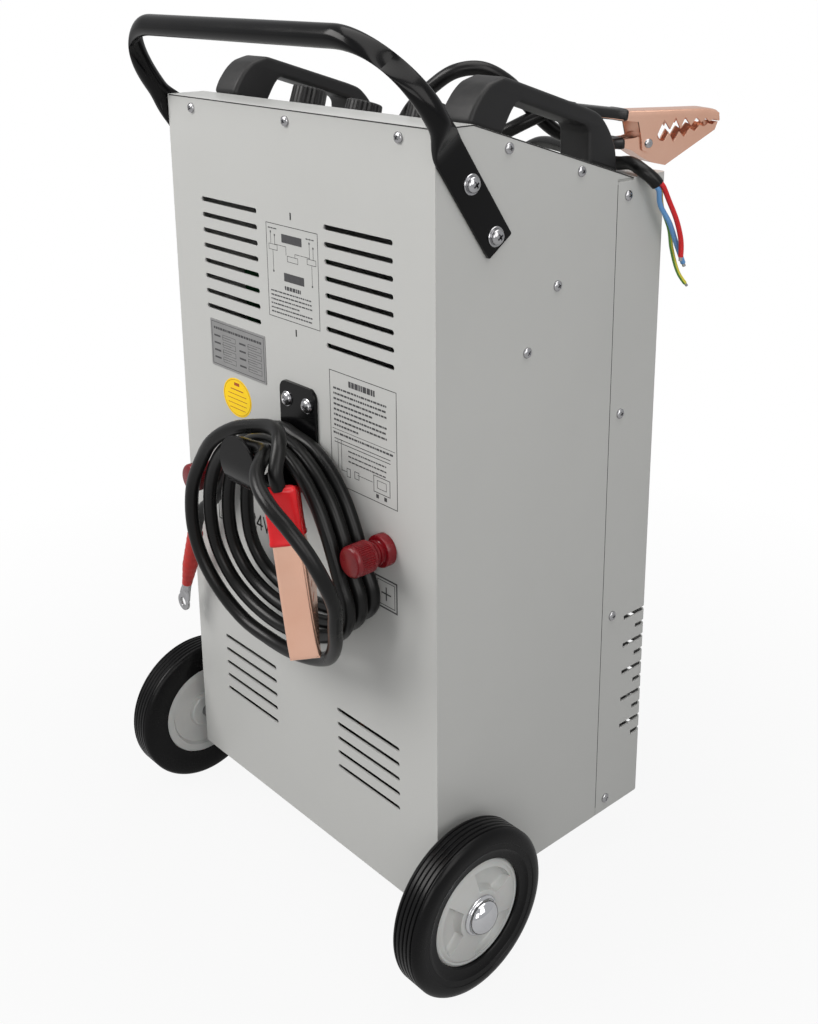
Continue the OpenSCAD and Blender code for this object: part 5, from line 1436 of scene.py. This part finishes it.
def make_glands():
    parts = []
    for x, cord_d in zip(GLAND_X, (LEAD_D, MAINS_D)):
        spot = placed(x, -DEPTH, GLAND_Z, turn(90, "X"))
        nut = lathe([(0, 0.05), (11.8, 0.05), (12.5, 0.8), (12.5, 5.4), (11.8, 6), (0, 6)], 6)
        r = cord_d / 2
        sleeve = [(0, 5), (10, 5), (10, 9.5), (9.4, 10.6), (r + 3.4, 11.6), (r + 3, 13)]
        for i in range(7):
            z = 13.6 + i * 2.1
            wall = 2.6 - i * 0.24
            sleeve += [(r + wall, z), (r + wall, z + 1.2), (r + wall - 0.8, z + 1.4), (r + wall - 0.8, z + 2)]
        sleeve += [(r + 0.8, GLAND_L - 5.6), (r + 0.5, GLAND_L - 5), (0, GLAND_L - 5)]
        stem = lathe([(0, GLAND_L - 6), (r, GLAND_L - 6), (r, GLAND_L + 0.1), (0, GLAND_L + 0.1)], 24)
        neck = lathe([(0, -2.5), (9, -2.5), (9, 1), (0, 1)], 48)
        inner_nut = lathe([(0, -6.5), (11.4, -6.5), (12, -6), (12, -2.1), (11.4, -1.6), (0, -1.6)], 6)
        parts += [(*shape, spot) for shape in (nut, lathe(sleeve, 56), stem, neck, inner_nut)]
    build("gland_sleeves", parts, BLACK_PLASTIC, stands_for=["cord_glands"], sharp=35)


def coil_tie(name, middle, diameter, angle):
    """A strap looped round the turns of a floor coil, with its tail lapped over."""
    pitch = diameter + PILE_GAP
    inner = COIL_RADIUS * diameter - pitch - diameter / 2
    outer = COIL_RADIUS * diameter + pitch + diameter / 2
    mid, half_w = (inner + outer) / 2, (outer - inner) / 2 + 0.9
    half_h = pitch / 2 + diameter / 2 + 0.2
    way = math.radians(angle)
    radial, along = Vector((math.cos(way), math.sin(way), 0)), Vector((-math.sin(way), math.cos(way), 0))
    centre = Vector((middle[0], middle[1], FLOOR + 0.2 + half_h)) + radial * mid
    rings = []
    outline = soft_oblong(half_w, half_h, 5, 64)
    for x, z in outline + outline[:6]:
        spot = centre + radial * x + Vector((0, 0, z))
        normal = (radial * (x / half_w ** 2) + Vector((0, 0, z / half_h ** 2))).normalized()
        rings.append([spot + along * u + normal * t for u, t in ((-6, 0), (6, 0), (6, 0.7), (-6, 0.7))])
    return build(name, [(*loft(rings), placed(0, 0, 0))], BLACK_VINYL)


make_glands()
negative_tie = coil_tie("negative_lead_tie", NEGATIVE_MIDDLE, LEAD_D, 300)
mains_tie = coil_tie("mains_cord_tie", MAINS_MIDDLE, MAINS_D, 290)

# ---------------------------------------------------------------- floor and light

GLOSSY_SHARE = 0.4  # how much of the white surroundings shows in reflections
NEAR_WHITE = 0.92  # how white the floor is made near the object, where the shadow lies
FADE_START, FADE_END = 0.25, 0.85  # metres from the middle over which the floor turns plain white
FLOOR_TONE = (0.3, 0.3, 0.3, 1)
WHITE = (1, 1, 1, 1)
SKY, SKY_STRENGTH = (0.95, 0.97, 1.0, 1), 0.24


def white_rays(tree):
    """1 for rays from the camera and through glass, and a share of it for reflections."""
    path = tree.nodes.new("ShaderNodeLightPath")
    mirrored = maths(tree, "MULTIPLY", path.outputs["Is Glossy Ray"], GLOSSY_SHARE)
    seen = maths(tree, "MAXIMUM", path.outputs["Is Camera Ray"], path.outputs["Is Transmission Ray"])
    return maths(tree, "MAXIMUM", seen, mirrored)


def make_floor():
    """A white floor that keeps a soft shadow near the object and fades to plain white further out."""
    slab = box_shape((-4000, -4000, FLOOR - 20), (4000, 4000, FLOOR))
    mesh = joined("floor", [(*slab, placed(0, 0, 0))])
    floor = bpy.data.objects.new("floor", mesh)
    bpy.context.scene.collection.objects.link(floor)
    mat = bpy.data.materials.new("studio_floor")
    mat.use_nodes = True
    tree = mat.node_tree
    shader = tree.nodes["Principled BSDF"]
    for label, value in (("Base Color", FLOOR_TONE), ("Roughness", 0.7), ("Specular IOR Level", 0.2)):
        shader.inputs[label].default_value = value
    glow = add_node(tree, "Emission", Color=WHITE)
    distance = tree.nodes.new("ShaderNodeVectorMath")
    distance.operation = "LENGTH"
    tree.links.new(object_place(tree), distance.inputs[0])
    share = remap(tree, distance.outputs["Value"], FADE_START, FADE_END, NEAR_WHITE)
    mix = add_node(tree, "MixShader", Fac=maths(tree, "MULTIPLY", share, white_rays(tree)))
    tree.links.new(shader.outputs["BSDF"], mix.inputs[1])
    tree.links.new(glow.outputs["Emission"], mix.inputs[2])
    tree.links.new(mix.outputs["Shader"], tree.nodes["Material Output"].inputs["Surface"])
    mesh.materials.append(mat)


def make_world():
    world = bpy.data.worlds.new("studio")
    bpy.context.scene.world = world
    world.use_nodes = True
    tree = world.node_tree
    tree.nodes.clear()
    mix = add_node(tree, "MixShader", Fac=white_rays(tree))
    for socket, colour, strength in ((1, SKY, SKY_STRENGTH), (2, WHITE, 1.0)):
        light = add_node(tree, "Background", Color=colour, Strength=strength)
        tree.links.new(light.outputs["Background"], mix.inputs[socket])
    add_node(tree, "OutputWorld", Surface=mix.outputs["Shader"])


def area_lamp(name, place, target, size, power):
    data = bpy.data.lights.new(name, "AREA")
    data.shape = "RECTANGLE"
    data.size, data.size_y = size
    data.energy = power
    data.color = (1, 0.98, 0.96)
    lamp = bpy.data.objects.new(name, data)
    spot, aim = at(*place), at(*target)
    lamp.matrix_world = Matrix.Translation(spot) @ (aim - spot).to_track_quat("-Z", "Y").to_matrix().to_4x4()
    bpy.context.scene.collection.objects.link(lamp)


make_floor()
make_world()
area_lamp("key_left", (900, 1500, 1700), (0, -100, 420), (1.3, 1.3), 44)
area_lamp("side_right", (-1700, 100, 1300), (0, -100, 400), (1.0, 1.4), 12)
area_lamp("behind_camera", (-1400, 1250, 800), (-60, 0, 300), (0.9, 0.9), 7)
area_lamp("top", (-200, -200, 2100), (0, -100, 300), (1.6, 1.6), 20)
